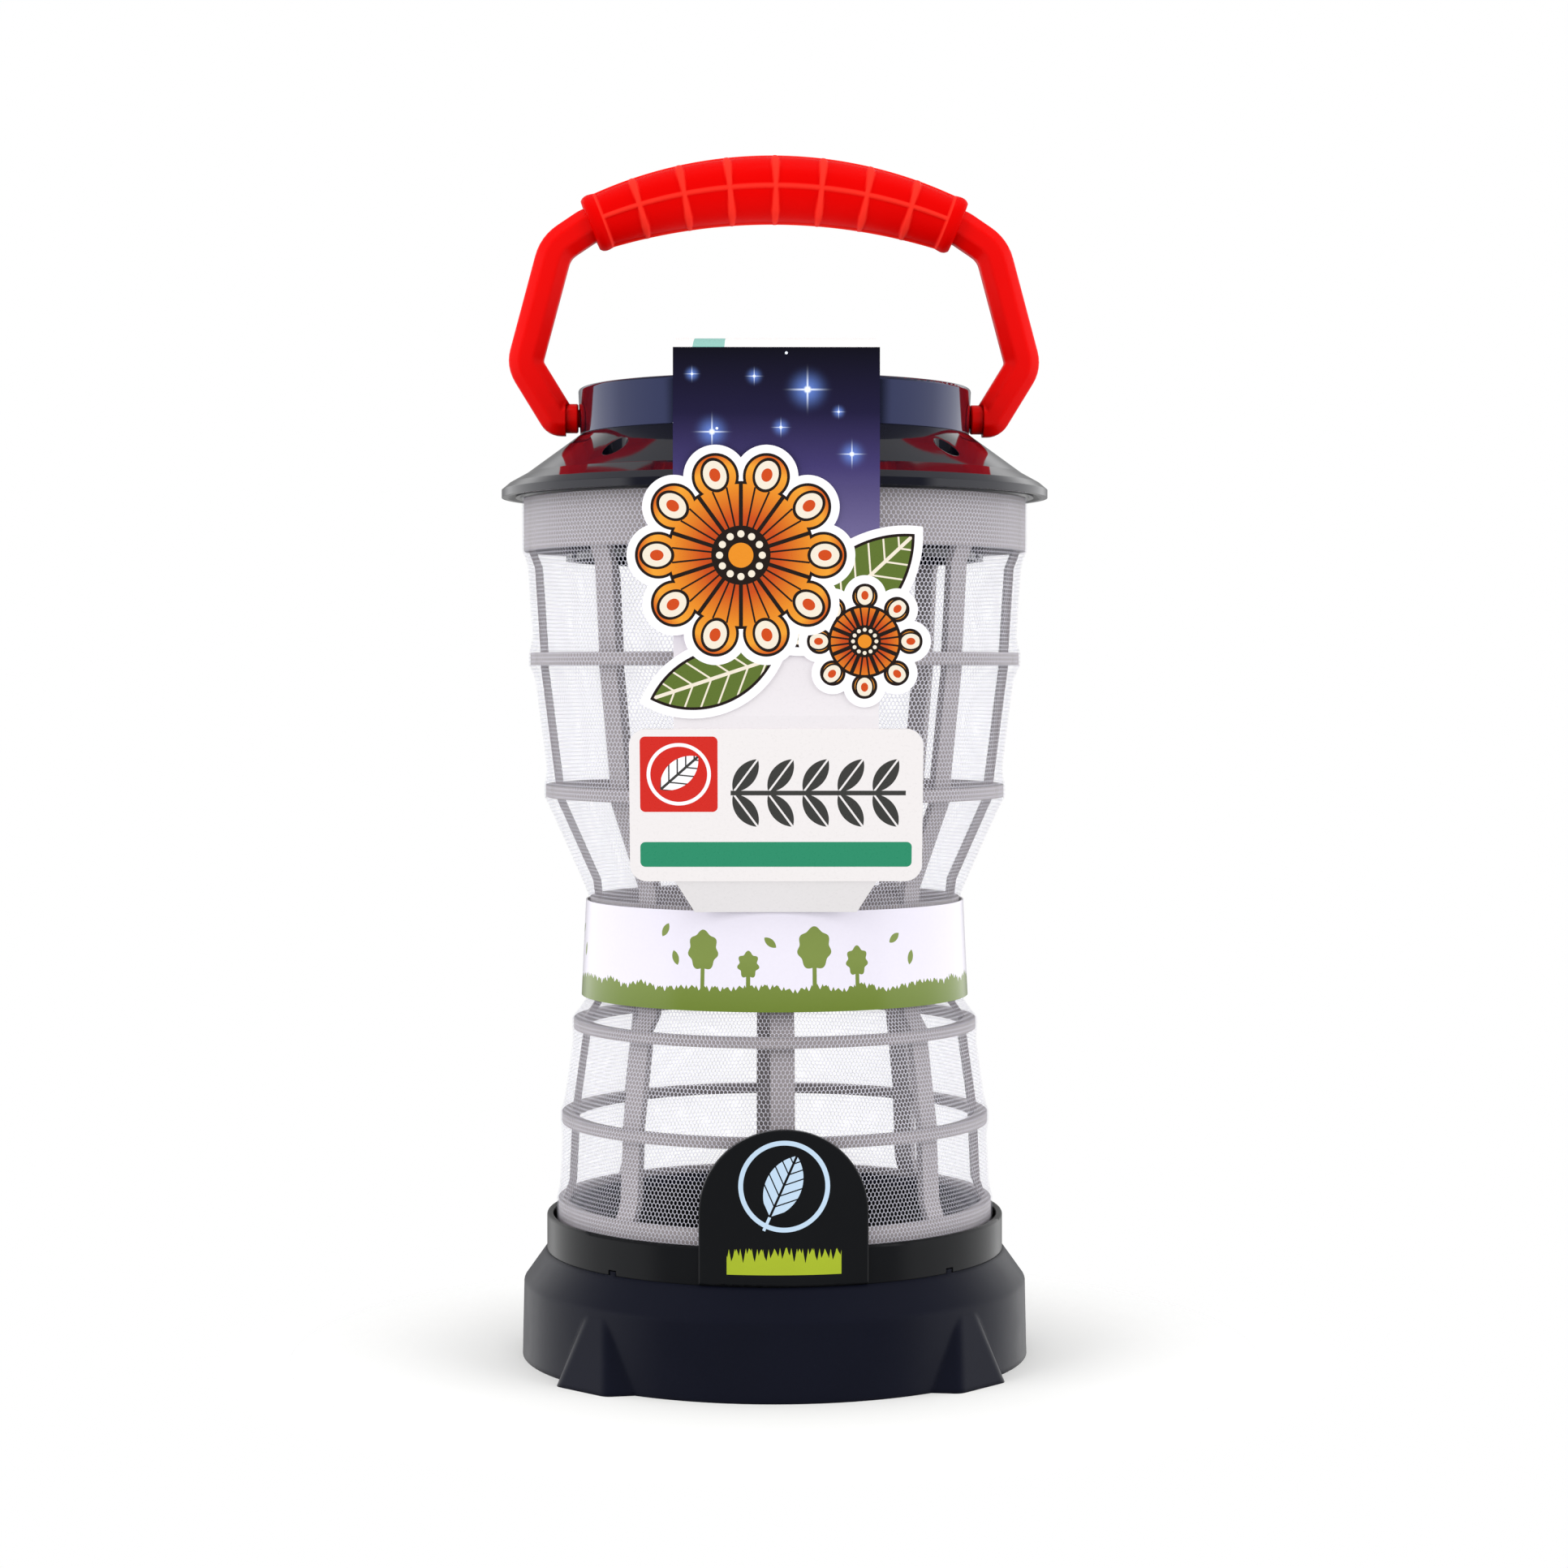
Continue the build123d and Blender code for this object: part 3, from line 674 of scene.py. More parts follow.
@dataclass(frozen=True)
class PrintedShield(Moulded):
    """The collar's plastic, with a leaf in a ring and a strip of grass printed on its shield."""

    face: float = -50.0
    ring_place: float = 49.0
    ring_radius: float = 10.0
    ring_line: float = 0.55
    leaf: Leaf = Leaf((-3.4, -7.15), 66.0, 15.5, 0.27, vein_pitch=2.7, midrib=0.28)
    stalk_middle: float = -1.6
    stalk_reach: float = 1.7
    stalk_line: float = 0.35
    grass_start: float = -40.0
    grass_foot: float = 28.6
    grass_reach: float = 13.2
    turf: float = 2.6
    blades: float = 7.0

    def print_over(self, g: Graph, colour: Signal) -> Signal:
        """Add the pad print to the shield's face.

        Args:
            g: The material's graph.
            colour: The plastic's colour.

        Returns:
            The printed colour.
        """
        x, y, z = g.place()
        front = y.below(self.face)
        rise = z - self.ring_place
        ring = (g.hypot(x, rise) - self.ring_radius).abs().below(self.ring_line)
        across, along = self.leaf.lay(x, rise)
        filled = self.leaf.edge(across, along).below(0.0) * (1.0 - self.leaf.veins(across, along))
        stalk = (along - self.stalk_middle).abs().below(self.stalk_reach)
        stalk = stalk * across.abs().below(self.stalk_line)
        emblem = g.most(g.most(ring, filled), stalk)
        grass = g.group(
            self.effects.grass,
            Along=x - self.grass_start,
            Up=z - self.grass_foot,
            Turf=self.turf,
            Blades=self.blades,
        )
        strip = grass["Mask"] * z.above(self.grass_foot) * x.abs().below(self.grass_reach)
        colour = g.layer(colour, Paint.EMBLEM_BLUE, emblem * front)
        return g.layer(colour, Paint.LIME, strip * front)


@dataclass(frozen=True)
class GripRubber(Moulded):
    """The grip's soft plastic, with a painted highlight on its raised ridges."""

    def print_over(self, g: Graph, colour: Signal) -> Signal:
        """Paint a highlight on the ridges, in place of light that would catch them."""
        ridge = g.read("ShaderNodeAttribute", "Fac", attribute_name=RIDGE_HIGHLIGHT_MASK)
        # painted highlight: the ridges are coloured lighter red where light would catch them
        return g.layer(colour, Paint.RIDGE_HIGHLIGHT_RED, ridge)


@dataclass(frozen=True)
class PlatedSteel(Finish):
    """Plated steel with fine turned lines."""

    name: str
    line_scale: float = 2400.0
    stain: float = 0.3
    roughness: float = 0.2
    smear: float = 0.25
    groove: float = 0.01

    def dress(self, g: Graph, shader: bpy.types.Node) -> None:
        """Feed the shader's sockets.

        Args:
            g: The material's graph.
            shader: The Principled shader.
        """
        lines = g.noise(g.object_vector(), self.line_scale, 3.0)
        g.wire(
            shader,
            Base_Color=g.layer(g.colour(Paint.STEEL), Paint.CARD_BACK, lines * self.stain),
            Roughness=lines * self.smear + self.roughness,
            Metallic=1.0,
        )
        relief(g, shader, lines, self.groove)


@dataclass(frozen=True)
class KnitNet(Finish):
    """White stretch knit with staggered six-sided holes, laid out on the sleeve's own UV map.

    Light that passes a wall of the sleeve meets only the first of its two skins.
    """

    name: str
    columns: int
    rows: float
    hole: float = 0.925
    slant: Point2 = (0.93, 3.07)
    roundness: float = 0.4
    thread: float = 0.05
    thread_edge: Point2 = (0.94, 1.04)
    thread_round: Point2 = (0.95, 1.2)
    yarn_scale: float = 700.0
    warmth: float = 0.15
    roughness: float = 0.5
    fuzz: float = 0.2
    clearness: float = 0.45
    ior: float = 1.05

    def holes(self, g: Graph) -> Signal:
        """Distance to the nearest hole's rim, 1 at the rim and 0 in its middle.

        Args:
            g: The material's graph.

        Returns:
            The distance.
        """
        around, up, _ = g.split(g.read("ShaderNodeUVMap", uv_map=KNIT_MAP))
        column = around * float(self.columns)
        row = up * (self.rows / 2)
        rims = []
        for shift in (0.0, 0.5):
            across = (column + shift).wrap(1.0).abs()
            rise = (row + shift).wrap(1.0).abs()
            sides = g.most(across * 2.0, across * self.slant[0] + rise * self.slant[1])
            oval = g.hypot(across * 2.0, rise * self.slant[1])
            rims.append(sides * (1 - self.roundness) + oval * self.roundness)
        return g.least(*rims) / self.hole

    def dress(self, g: Graph, shader: bpy.types.Node) -> None:
        """Feed the shader's sockets.

        Args:
            g: The material's graph.
            shader: The Principled shader.
        """
        rim = self.holes(g)
        yarn = g.noise(g.object_vector(), self.yarn_scale, 3.0)
        seen = g.read("ShaderNodeLightPath", "Is Camera Ray")
        behind = g.read("ShaderNodeNewGeometry", "Backfacing")
        g.wire(
            shader,
            Base_Color=g.layer(g.colour(Paint.NET_WHITE), Paint.PAPER_WHITE, yarn * self.warmth),
            Alpha=rim.fade(*self.thread_edge) * (1.0 - behind * (1.0 - seen)),
            Roughness=yarn * self.fuzz + self.roughness,
            Transmission_Weight=self.clearness,
            IOR=self.ior,
        )
        relief(g, shader, rim.fade(*self.thread_round), self.thread)


@dataclass(frozen=True)
class PrintedCard(Finish):
    """Varnished card or paper, with its print, a bare back and a white cut edge.

    Above the fold the card lies flat, and its upper side is the printed one.
    """

    name: str
    effects: Effects
    roughness: float = 0.28
    fibre: float = 0.05
    wave: float = 0.05
    turn: float = 0.0
    gloss: float = 0.35
    fold: float = 239.0
    edge_on: float = 0.2

    def artwork(self, g: Graph) -> Signal:
        """The colour of the printed side."""
        return g.colour(Paint.PAPER_WHITE)

    def outward(self, g: Graph) -> Signal:
        """How far the surface looks outwards.

        Args:
            g: The material's graph.

        Returns:
            The share, from -1 on the bare back to 1 on the printed side.
        """
        _, y, z = g.place(self.turn)
        _, ny, nz = g.facing()
        return g.most(ny * g.math("SIGN", y), nz * z.above(self.fold))

    def dress(self, g: Graph, shader: bpy.types.Node) -> None:
        """Feed the shader's sockets.

        Args:
            g: The material's graph.
            shader: The Principled shader.
        """
        outward = self.outward(g)
        colour = g.layer(g.colour(Paint.PAPER_WHITE), self.artwork(g), outward.above(self.edge_on))
        surface = g.group(
            self.effects.card,
            Place=g.object_vector(),
            Colour=g.layer(colour, Paint.CARD_BACK, outward.below(-self.edge_on)),
            Fibre=self.fibre,
            Roughness=self.roughness,
        )
        g.wire(
            shader,
            Base_Color=surface["Colour"],
            Roughness=surface["Roughness"],
            Specular_IOR_Level=self.gloss,
        )
        relief(g, shader, surface["Height"], self.wave)


@dataclass(frozen=True)
class NightCard(PrintedCard):
    """The strap's print: a night sky that pales towards its foot, with stars, and a white top.

    A star is given by its place across and up the card and its size, and its parts by shares of that size.
    """

    high: float = 240.0
    low: float = 118.0
    sky: Stops = (
        (0.0, (238, 235, 236)),
        (0.42, (222, 217, 221)),
        (0.55, (176, 168, 190)),
        (0.66, (104, 96, 140)),
        (0.78, (62, 54, 104)),
        (0.88, (30, 26, 58)),
        (1.0, (14, 13, 26)),
    )
    stars: tuple[tuple[float, float, float], ...] = (
        (-14.5, 221.0, 1.0),
        (7.0, 230.5, 1.2),
        (17.0, 216.0, 0.8),
        (-5.0, 233.5, 0.5),
        (1.0, 222.0, 0.55),
        (-19.0, 234.0, 0.45),
        (14.0, 225.5, 0.4),
    )
    halo: float = 5.5
    halo_strength: float = 0.55
    ray: float = 0.28
    core: Point2 = (0.3, 0.9)
    dust_scale: float = 170.0
    dust_size: float = 0.055
    dust_foot: float = 206.0
    top_gap: float = 0.05
    patch_place: float = -15.3
    patch_reach: float = 3.6
    patch_front: float = -40.0

    def artwork(self, g: Graph) -> Signal:
        """The colour of the printed side.

        Args:
            g: The material's graph.

        Returns:
            The colour.
        """
        x, y, z = g.place(self.turn)
        sky = g.ramp((z - self.low) / (self.high - self.low), self.sky)
        for across, height, size in self.stars:
            right, rise = x - across, z - height
            spread = g.hypot(right, rise)
            halo = 1.0 - spread.fade(0.0, self.halo * size)
            rays = 1.0 - g.least(right.abs(), rise.abs()).fade(0.0, self.ray * size)
            core = 1.0 - spread.fade(self.core[0] * size, self.core[1] * size)
            glow = halo * halo
            sky = g.layer(sky, Paint.STAR_BLUE, glow * self.halo_strength)
            sky = g.layer(sky, Paint.STAR_WHITE, g.most(core, rays * glow))
        cells = g.wire(g.add("ShaderNodeTexVoronoi"), Vector=g.object_vector(), Scale=self.dust_scale)
        dust = Signal(g, cells.outputs["Distance"]).below(self.dust_size) * z.above(self.dust_foot)
        sky = g.layer(sky, Paint.STAR_WHITE, dust)
        top = z.above(self.high + self.top_gap)
        patch = (x - self.patch_place).abs().below(self.patch_reach) * y.below(self.patch_front)
        sky = g.layer(sky, Paint.CARD_TOP, top)
        return g.layer(sky, Paint.TEAL, top * patch)


@dataclass(frozen=True)
class Flower:
    """A round flower head of the die-cut picture."""

    across: float
    up: float
    ring: float
    petal: float
    count: int


@dataclass(frozen=True)
class FlowerCard(PrintedCard):
    """The die-cut picture's print: orange flower heads and leaves inside a white border.

    The petals' eyes are shares of the petal, the heart's parts shares of the flower's middle.
    """

    foot: float = 157.0
    slope: float = 1.0057
    border: float = 1.9
    line: float = 0.65
    flowers: tuple[Flower, ...] = (Flower(-8.0, 36.5, 18.6, 7.2, 10), Flower(20.0, 17.0, 10.2, 4.8, 8))
    petal_fill: Stops = (
        (0.0, (150, 44, 10)),
        (0.34, (196, 74, 14)),
        (0.6, (224, 134, 28)),
        (0.78, (232, 156, 44)),
        (0.9, (206, 84, 16)),
    )
    eye_lift: float = 0.05
    eye_squash: float = 0.8
    eyes: tuple[tuple[Paint, float], ...] = (
        (Paint.INK, 0.44),
        (Paint.CREAM, 0.36),
        (Paint.DEEP_ORANGE, 0.17),
    )
    seam_line: float = 0.7
    vein_turn: float = 0.17
    vein_line: float = 0.32
    vein_reach: float = 0.84
    middle: float = 0.36
    seeds: int = 12
    seed_place: float = 0.72
    seed_size: float = 0.12
    heart: float = 0.42
    leaf_root: Point2 = (2.0, 14.0)
    leaf_tips: tuple[Point2, ...] = ((-31.0, 3.0), (33.0, 43.0))
    leaf_bulge: float = 0.24

    def artwork(self, g: Graph) -> Signal:
        """The colour of the printed side.

        Args:
            g: The material's graph.

        Returns:
            The colour.
        """
        x, _, z = g.place(self.turn)
        up = (z - self.foot) * self.slope
        colour = g.colour(Paint.PAPER_WHITE)
        for tip in self.leaf_tips:
            colour = self.leaf(g, colour, x, up, tip)
        for flower in reversed(self.flowers):
            colour = self.head(g, colour, x, up, flower)
        return colour

    def leaf(self, g: Graph, colour: Signal, x: Signal, up: Signal, tip: Point2) -> Signal:
        """Paint one leaf.

        Args:
            g: The graph.
            colour: The colour so far.
            x: Place across the card.
            up: Place up the card.
            tip: The leaf's tip.

        Returns:
            The colour with the leaf.
        """
        run = (tip[0] - self.leaf_root[0], tip[1] - self.leaf_root[1])
        leaf = Leaf(
            self.leaf_root,
            angle=math.degrees(math.atan2(run[1], run[0])),
            length=math.hypot(*run),
            bulge=self.leaf_bulge,
            vein_pitch=4.4,
            vein_slope=0.8,
            vein=0.26,
            midrib=0.4,
        )
        across, along = leaf.lay(x, up)
        edge = leaf.edge(across, along)
        inside = edge.below(-self.border - self.line)
        colour = g.layer(colour, Paint.INK, edge.below(-self.border))
        colour = g.layer(colour, Paint.LEAF_GREEN, inside)
        return g.layer(colour, Paint.CREAM, inside * leaf.veins(across, along))

    def head(self, g: Graph, colour: Signal, x: Signal, up: Signal, flower: Flower) -> Signal:
        """Paint one flower head.

        Args:
            g: The graph.
            colour: The colour so far.
            x: Place across the card.
            up: Place up the card.
            flower: The flower.

        Returns:
            The colour with the flower.
        """
        right, rise = x - flower.across, up - flower.up
        radius = g.hypot(right, rise)
        bearing = g.math("ARCTAN2", rise, right)
        sector = FULL_TURN / flower.count
        turn = bearing.wrap(sector)
        out = radius * turn.cos() - flower.ring
        side = radius * turn.sin()
        edge = g.least(g.hypot(out, side) - flower.petal, radius - flower.ring)
        inside = edge.below(-self.border - self.line)
        colour = g.layer(colour, Paint.PAPER_WHITE, edge.below(0.0))
        colour = g.layer(colour, Paint.INK, edge.below(-self.border))
        fill = g.ramp(radius / (flower.ring + flower.petal), self.petal_fill)
        colour = g.layer(colour, fill, inside)
        eye = g.hypot((out - flower.petal * self.eye_lift) * self.eye_squash, side)
        for paint, share in self.eyes:
            colour = g.layer(colour, paint, eye.below(flower.petal * share) * inside)
        seam = (radius * (sector / 2 - turn.abs()).sin()).below(self.line * self.seam_line)
        vein = (radius * (turn.abs() - sector * self.vein_turn).sin()).abs().below(self.line * self.vein_line)
        vein = vein * radius.below(flower.ring * self.vein_reach)
        colour = g.layer(colour, Paint.INK, g.most(seam, vein) * inside)
        middle = flower.ring * self.middle
        colour = g.layer(colour, Paint.INK, radius.below(middle))
        spoke = bearing.wrap(FULL_TURN / self.seeds)
        seed = g.hypot(radius * spoke.cos() - middle * self.seed_place, radius * spoke.sin())
        colour = g.layer(colour, Paint.CREAM, seed.below(middle * self.seed_size))
        return g.layer(colour, Paint.AMBER, radius.below(middle * self.heart))


@dataclass(frozen=True)
class PlateCard(PrintedCard):
    """The label plate's print: a red square with a leaf, a dark sprig and a plain green bar."""

    foot: float = 119.0
    slope: float = 1.022
    square: float = 17.7
    square_place: Point2 = (-22.2, 25.2)
    ring_radius: float = 6.9
    ring_line: float = 0.42
    leaf: Leaf = Leaf((-4.2, -3.6), 42.0, 11.6, 0.26, vein=0.22)
    bar_place: Point2 = (0.0, 6.3)
    bar_size: Point2 = (62.2, 5.9)
    corner: float = 1.2
    sprig_place: Point2 = (9.6, 20.8)
    sprig_length: float = 40.0
    stem_line: float = 0.55
    leaf_pitch: float = 8.0
    leaflet: Leaf = Leaf((-3.4, 0.2), 54.0, 9.6, 0.24, midrib=0.22)

    def box_edge(self, g: Graph, x: Signal, up: Signal, place: Point2, size: Point2) -> Signal:
        """Signed distance to a box with round corners.

        Args:
            g: The graph.
            x: Place across.
            up: Place up.
            place: The box's middle.
            size: Its width and height.

        Returns:
            The distance, below 0 inside.
        """
        right = (x - place[0]).abs() - (size[0] / 2 - self.corner)
        rise = (up - place[1]).abs() - (size[1] / 2 - self.corner)
        outer = g.hypot(g.most(right, 0.0), g.most(rise, 0.0))
        return outer + g.least(g.most(right, rise), 0.0) - self.corner

    def artwork(self, g: Graph) -> Signal:
        """The colour of the printed side.

        Args:
            g: The material's graph.

        Returns:
            The colour.
        """
        x, _, z = g.place(self.turn)
        up = (z - self.foot) * self.slope
        square = self.box_edge(g, x, up, self.square_place, (self.square, self.square))
        colour = g.layer(g.colour(Paint.CARD_GREY), Paint.LABEL_RED, square.below(0.0))
        right, rise = x - self.square_place[0], up - self.square_place[1]
        ring = (g.hypot(right, rise) - self.ring_radius).abs().below(self.ring_line)
        across, along = self.leaf.lay(right, rise)
        leaf = self.leaf.edge(across, along).below(0.0)
        colour = g.layer(colour, Paint.PAPER_WHITE, g.most(ring, leaf))
        colour = g.layer(colour, Paint.LABEL_INK, leaf * self.leaf.veins(across, along))
        bar = self.box_edge(g, x, up, self.bar_place, self.bar_size)
        colour = g.layer(colour, Paint.LABEL_GREEN, bar.below(0.0))
        return g.layer(colour, Paint.LABEL_INK, self.sprig(g, x, up))

    def sprig(self, g: Graph, x: Signal, up: Signal) -> Signal:
        """Mask of a stem with leaves in pairs.

        Args:
            g: The graph.
            x: Place across.
            up: Place up.

        Returns:
            The mask.
        """
        right = x - self.sprig_place[0]
        rise = (up - self.sprig_place[1]).abs()
        within = right.abs().below(self.sprig_length / 2)
        across, along = self.leaflet.lay(right.wrap(self.leaf_pitch), rise)
        slit = across.abs().below(self.leaflet.midrib)
        leaves = self.leaflet.edge(across, along).below(0.0) * (1.0 - slit)
        return g.most(rise.below(self.stem_line), leaves) * within


@dataclass(frozen=True)
class MeadowPaper(PrintedCard):
    """The waist band's print: grass along its foot, small trees and drifting leaves on white.

    A tree is given by its place along the band and its height, and its parts by shares of its height
    or its crown. A drifting leaf is given by its place along and up the band and its angle.
    """

    foot: float = 88.0
    radius: float = 47.0
    repeats: int = 3
    grass_start: float = -300.0
    turf: float = 4.6
    blades: float = 2.8
    trees: tuple[Point2, ...] = ((-19.0, 14.5), (-8.0, 9.5), (7.5, 15.5), (18.0, 10.5))
    tree_foot: float = 5.0
    trunk: float = 0.5
    trunk_share: float = 0.6
    crown_share: float = 0.62
    crown_drop: float = 0.6
    crown_squash: float = 1.25
    lobes: float = 7.0
    lobe_depth: float = 0.35
    leaves: tuple[tuple[float, float, float], ...] = (
        (-30.0, 17.0, 60.0),
        (-25.5, 10.5, 110.0),
        (27.0, 15.5, 35.0),
        (33.0, 10.0, 75.0),
        (-1.5, 15.0, 140.0),
    )
    leaf_length: float = 3.6
    leaf_bulge: float = 0.24
    shade_height: float = 24.0
    greens: Stops = ((0.0, (104, 123, 48)), (0.5, (122, 139, 70)))

    def outward(self, g: Graph) -> Signal:
        """How far the surface looks away from the band's axis.

        Args:
            g: The material's graph.

        Returns:
            The share, from -1 on the bare back to 1 on the printed side.
        """
        x, y, _ = g.place()
        nx, ny, _ = g.facing()
        return (nx * x + ny * y) / g.hypot(x, y)

    def artwork(self, g: Graph) -> Signal:
        """The colour of the printed side.

        Args:
            g: The material's graph.

        Returns:
            The colour.
        """
        x, y, z = g.place()
        around = g.math("ARCTAN2", x, y * -1.0) * self.radius
        panel = around.wrap(FULL_TURN * self.radius / self.repeats)
        up = z - self.foot
        grass = g.group(
            self.effects.grass, Along=panel - self.grass_start, Up=up, Turf=self.turf, Blades=self.blades
        )
        mask = grass["Mask"]
        for place, height in self.trees:
            mask = g.most(mask, self.tree(g, panel - place, up, height))
        for place, height, angle in self.leaves:
            leaf = Leaf((place, height), angle, self.leaf_length, self.leaf_bulge)
            mask = g.most(mask, leaf.edge(*leaf.lay(panel, up)).below(0.0))
        return g.layer(g.colour(Paint.BAND_LILAC), g.ramp(up / self.shade_height, self.greens), mask)

    def tree(self, g: Graph, right: Signal, up: Signal, height: float) -> Signal:
        """Mask of a tree with a round crown.

        Args:
            g: The graph.
            right: Place across from its trunk.
            up: Height over the band's foot.
            height: How tall it stands.

        Returns:
            The mask.
        """
        crown = height * self.crown_share
        rise = up - (self.tree_foot + height - crown * self.crown_drop)
        trunk = right.abs().below(self.trunk) * up.below(self.tree_foot + height * self.trunk_share)
        lobes = (g.math("ARCTAN2", right, rise) * self.lobes).cos() * self.lobe_depth
        leafage = g.hypot(right * self.crown_squash, rise)
        return g.most(trunk, leafage.below(lobes + crown / 2))


@dataclass(frozen=True)
class FloorPaint(Finish):
    """A plain pale floor that keeps the object's shadow and runs into the white beyond it."""

    name: str
    reach: float
    end: float
    roughness: float = 0.9

    def dress(self, g: Graph, shader: bpy.types.Node) -> None:
        """Feed the shader's sockets.

        Args:
            g: The material's graph.
            shader: The Principled shader.
        """
        x, y, _ = g.place()
        g.wire(
            shader,
            Alpha=1.0 - g.hypot(x, y).fade(self.reach, self.end),
            Base_Color=Paint.FLOOR_WHITE.linear,
            Roughness=self.roughness,
            Specular_IOR_Level=0.0,
        )


def shell(name: str, verts: Sequence[Sequence[float]], faces: Sequence[Sequence[int]]) -> bpy.types.Object:
    """Make a smooth mesh object at the origin, from places in millimetres.

    Args:
        name: The piece's name.
        verts: Places of its points.
        faces: Its faces, as point numbers.

    Returns:
        The object, in the scene.
    """
    mesh = bpy.data.meshes.new(name)
    mesh.from_pydata([[c * MM for c in place] for place in verts], [], [list(f) for f in faces])
    mesh.shade_smooth()
    made = bpy.data.objects.new(name, mesh)
    bpy.context.scene.collection.objects.link(made)
    return made


def tidy_mesh(piece: bpy.types.Object, sharp: float = 35.0) -> None:
    """Merge doubled points, turn the faces outwards and keep hard edges hard.

    Args:
        piece: The object.
        sharp: Angle in degrees past which an edge stays hard.
    """
    work = bmesh.new()
    work.from_mesh(piece.data)
    bmesh.ops.remove_doubles(work, verts=work.verts, dist=WELD * MM)
    bmesh.ops.dissolve_degenerate(work, edges=work.edges, dist=SLIVER * MM)
    bmesh.ops.recalc_face_normals(work, faces=work.faces)
    for edge in work.edges:
        edge.smooth = edge.is_manifold and edge.calc_face_angle(0.0) < math.radians(sharp)
    work.to_mesh(piece.data)
    work.free()


def paint_node(node: str, finish: Finish) -> None:
    """Give a node of the frame its finish.

    Args:
        node: The node's name.
        finish: The finish.
    """
    mesh = frame["nodes"][node].data
    mesh.materials.clear()
    mesh.materials.append(finish.material())
    log.info("%s: %s", node, finish.name)


def seat(piece: bpy.types.Object, body: str, slot: str, *nodes: str) -> None:
    """Put a finished piece on its body, in place of nodes of the frame.

    Args:
        piece: The object.
        body: The body that it moves with.
        slot: The record's material slot; not used.
        *nodes: The nodes that it stands for.
    """
    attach(piece, body)
    if nodes:
        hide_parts(*nodes)
    log.info("%s rides on %s: %d faces", piece.name, body, len(piece.data.polygons))


def realised(
    name: str, tree: bpy.types.NodeTree, inputs: dict[str, object], material: bpy.types.Material
) -> bpy.types.Object:
    """Run a geometry group and keep its result as a plain mesh.

    Args:
        name: The piece's name.
        tree: The geometry group.
        inputs: Its inputs by name.
        material: The finish that it sets.

    Returns:
        The object, with no modifier left on it.
    """
    source = bpy.data.objects.new(name, bpy.data.meshes.new(name))
    bpy.context.scene.collection.objects.link(source)
    modifier = source.modifiers.new("build", "NODES")
    modifier.node_group = tree
    for item in tree.interface.items_tree:
        if item.in_out == "INPUT" and item.name in inputs:
            modifier[item.identifier] = inputs[item.name]
        if item.in_out == "INPUT" and item.socket_type == "NodeSocketMaterial":
            modifier[item.identifier] = material
    view = bpy.context.evaluated_depsgraph_get()
    mesh = bpy.data.meshes.new_from_object(source.evaluated_get(view))
    source.modifiers.clear()
    source.data = mesh
    mesh.name = name
    return source


@dataclass
class Base:
    """The base that stands on the floor, with its floor pan."""

    effects: Effects

    def build(self) -> None:
        """Dress the base's nodes."""
        navy = Moulded(
            "base_navy",
            Paint.BASE_NAVY,
            self.effects,
            roughness=0.34,
            cloud=0.2,
            grain=0.02,
            edge=1.8,
            gloss=0.13,
        )
        black = Moulded(
            "pan_black",
            Paint.PAN_BLACK,
            self.effects,
            roughness=0.5,
            smear=0.12,
            cloud=0.2,
            grain=0.02,
            edge=0.4,
            gloss=0.2,
        )
        paint_node("base_shell", navy)
        paint_node("floor_pan", black)


@dataclass(frozen=True)
class Ring:
    """A level that the net is stretched over."""

    low: float
    high: float
    radius: float
    recess: float


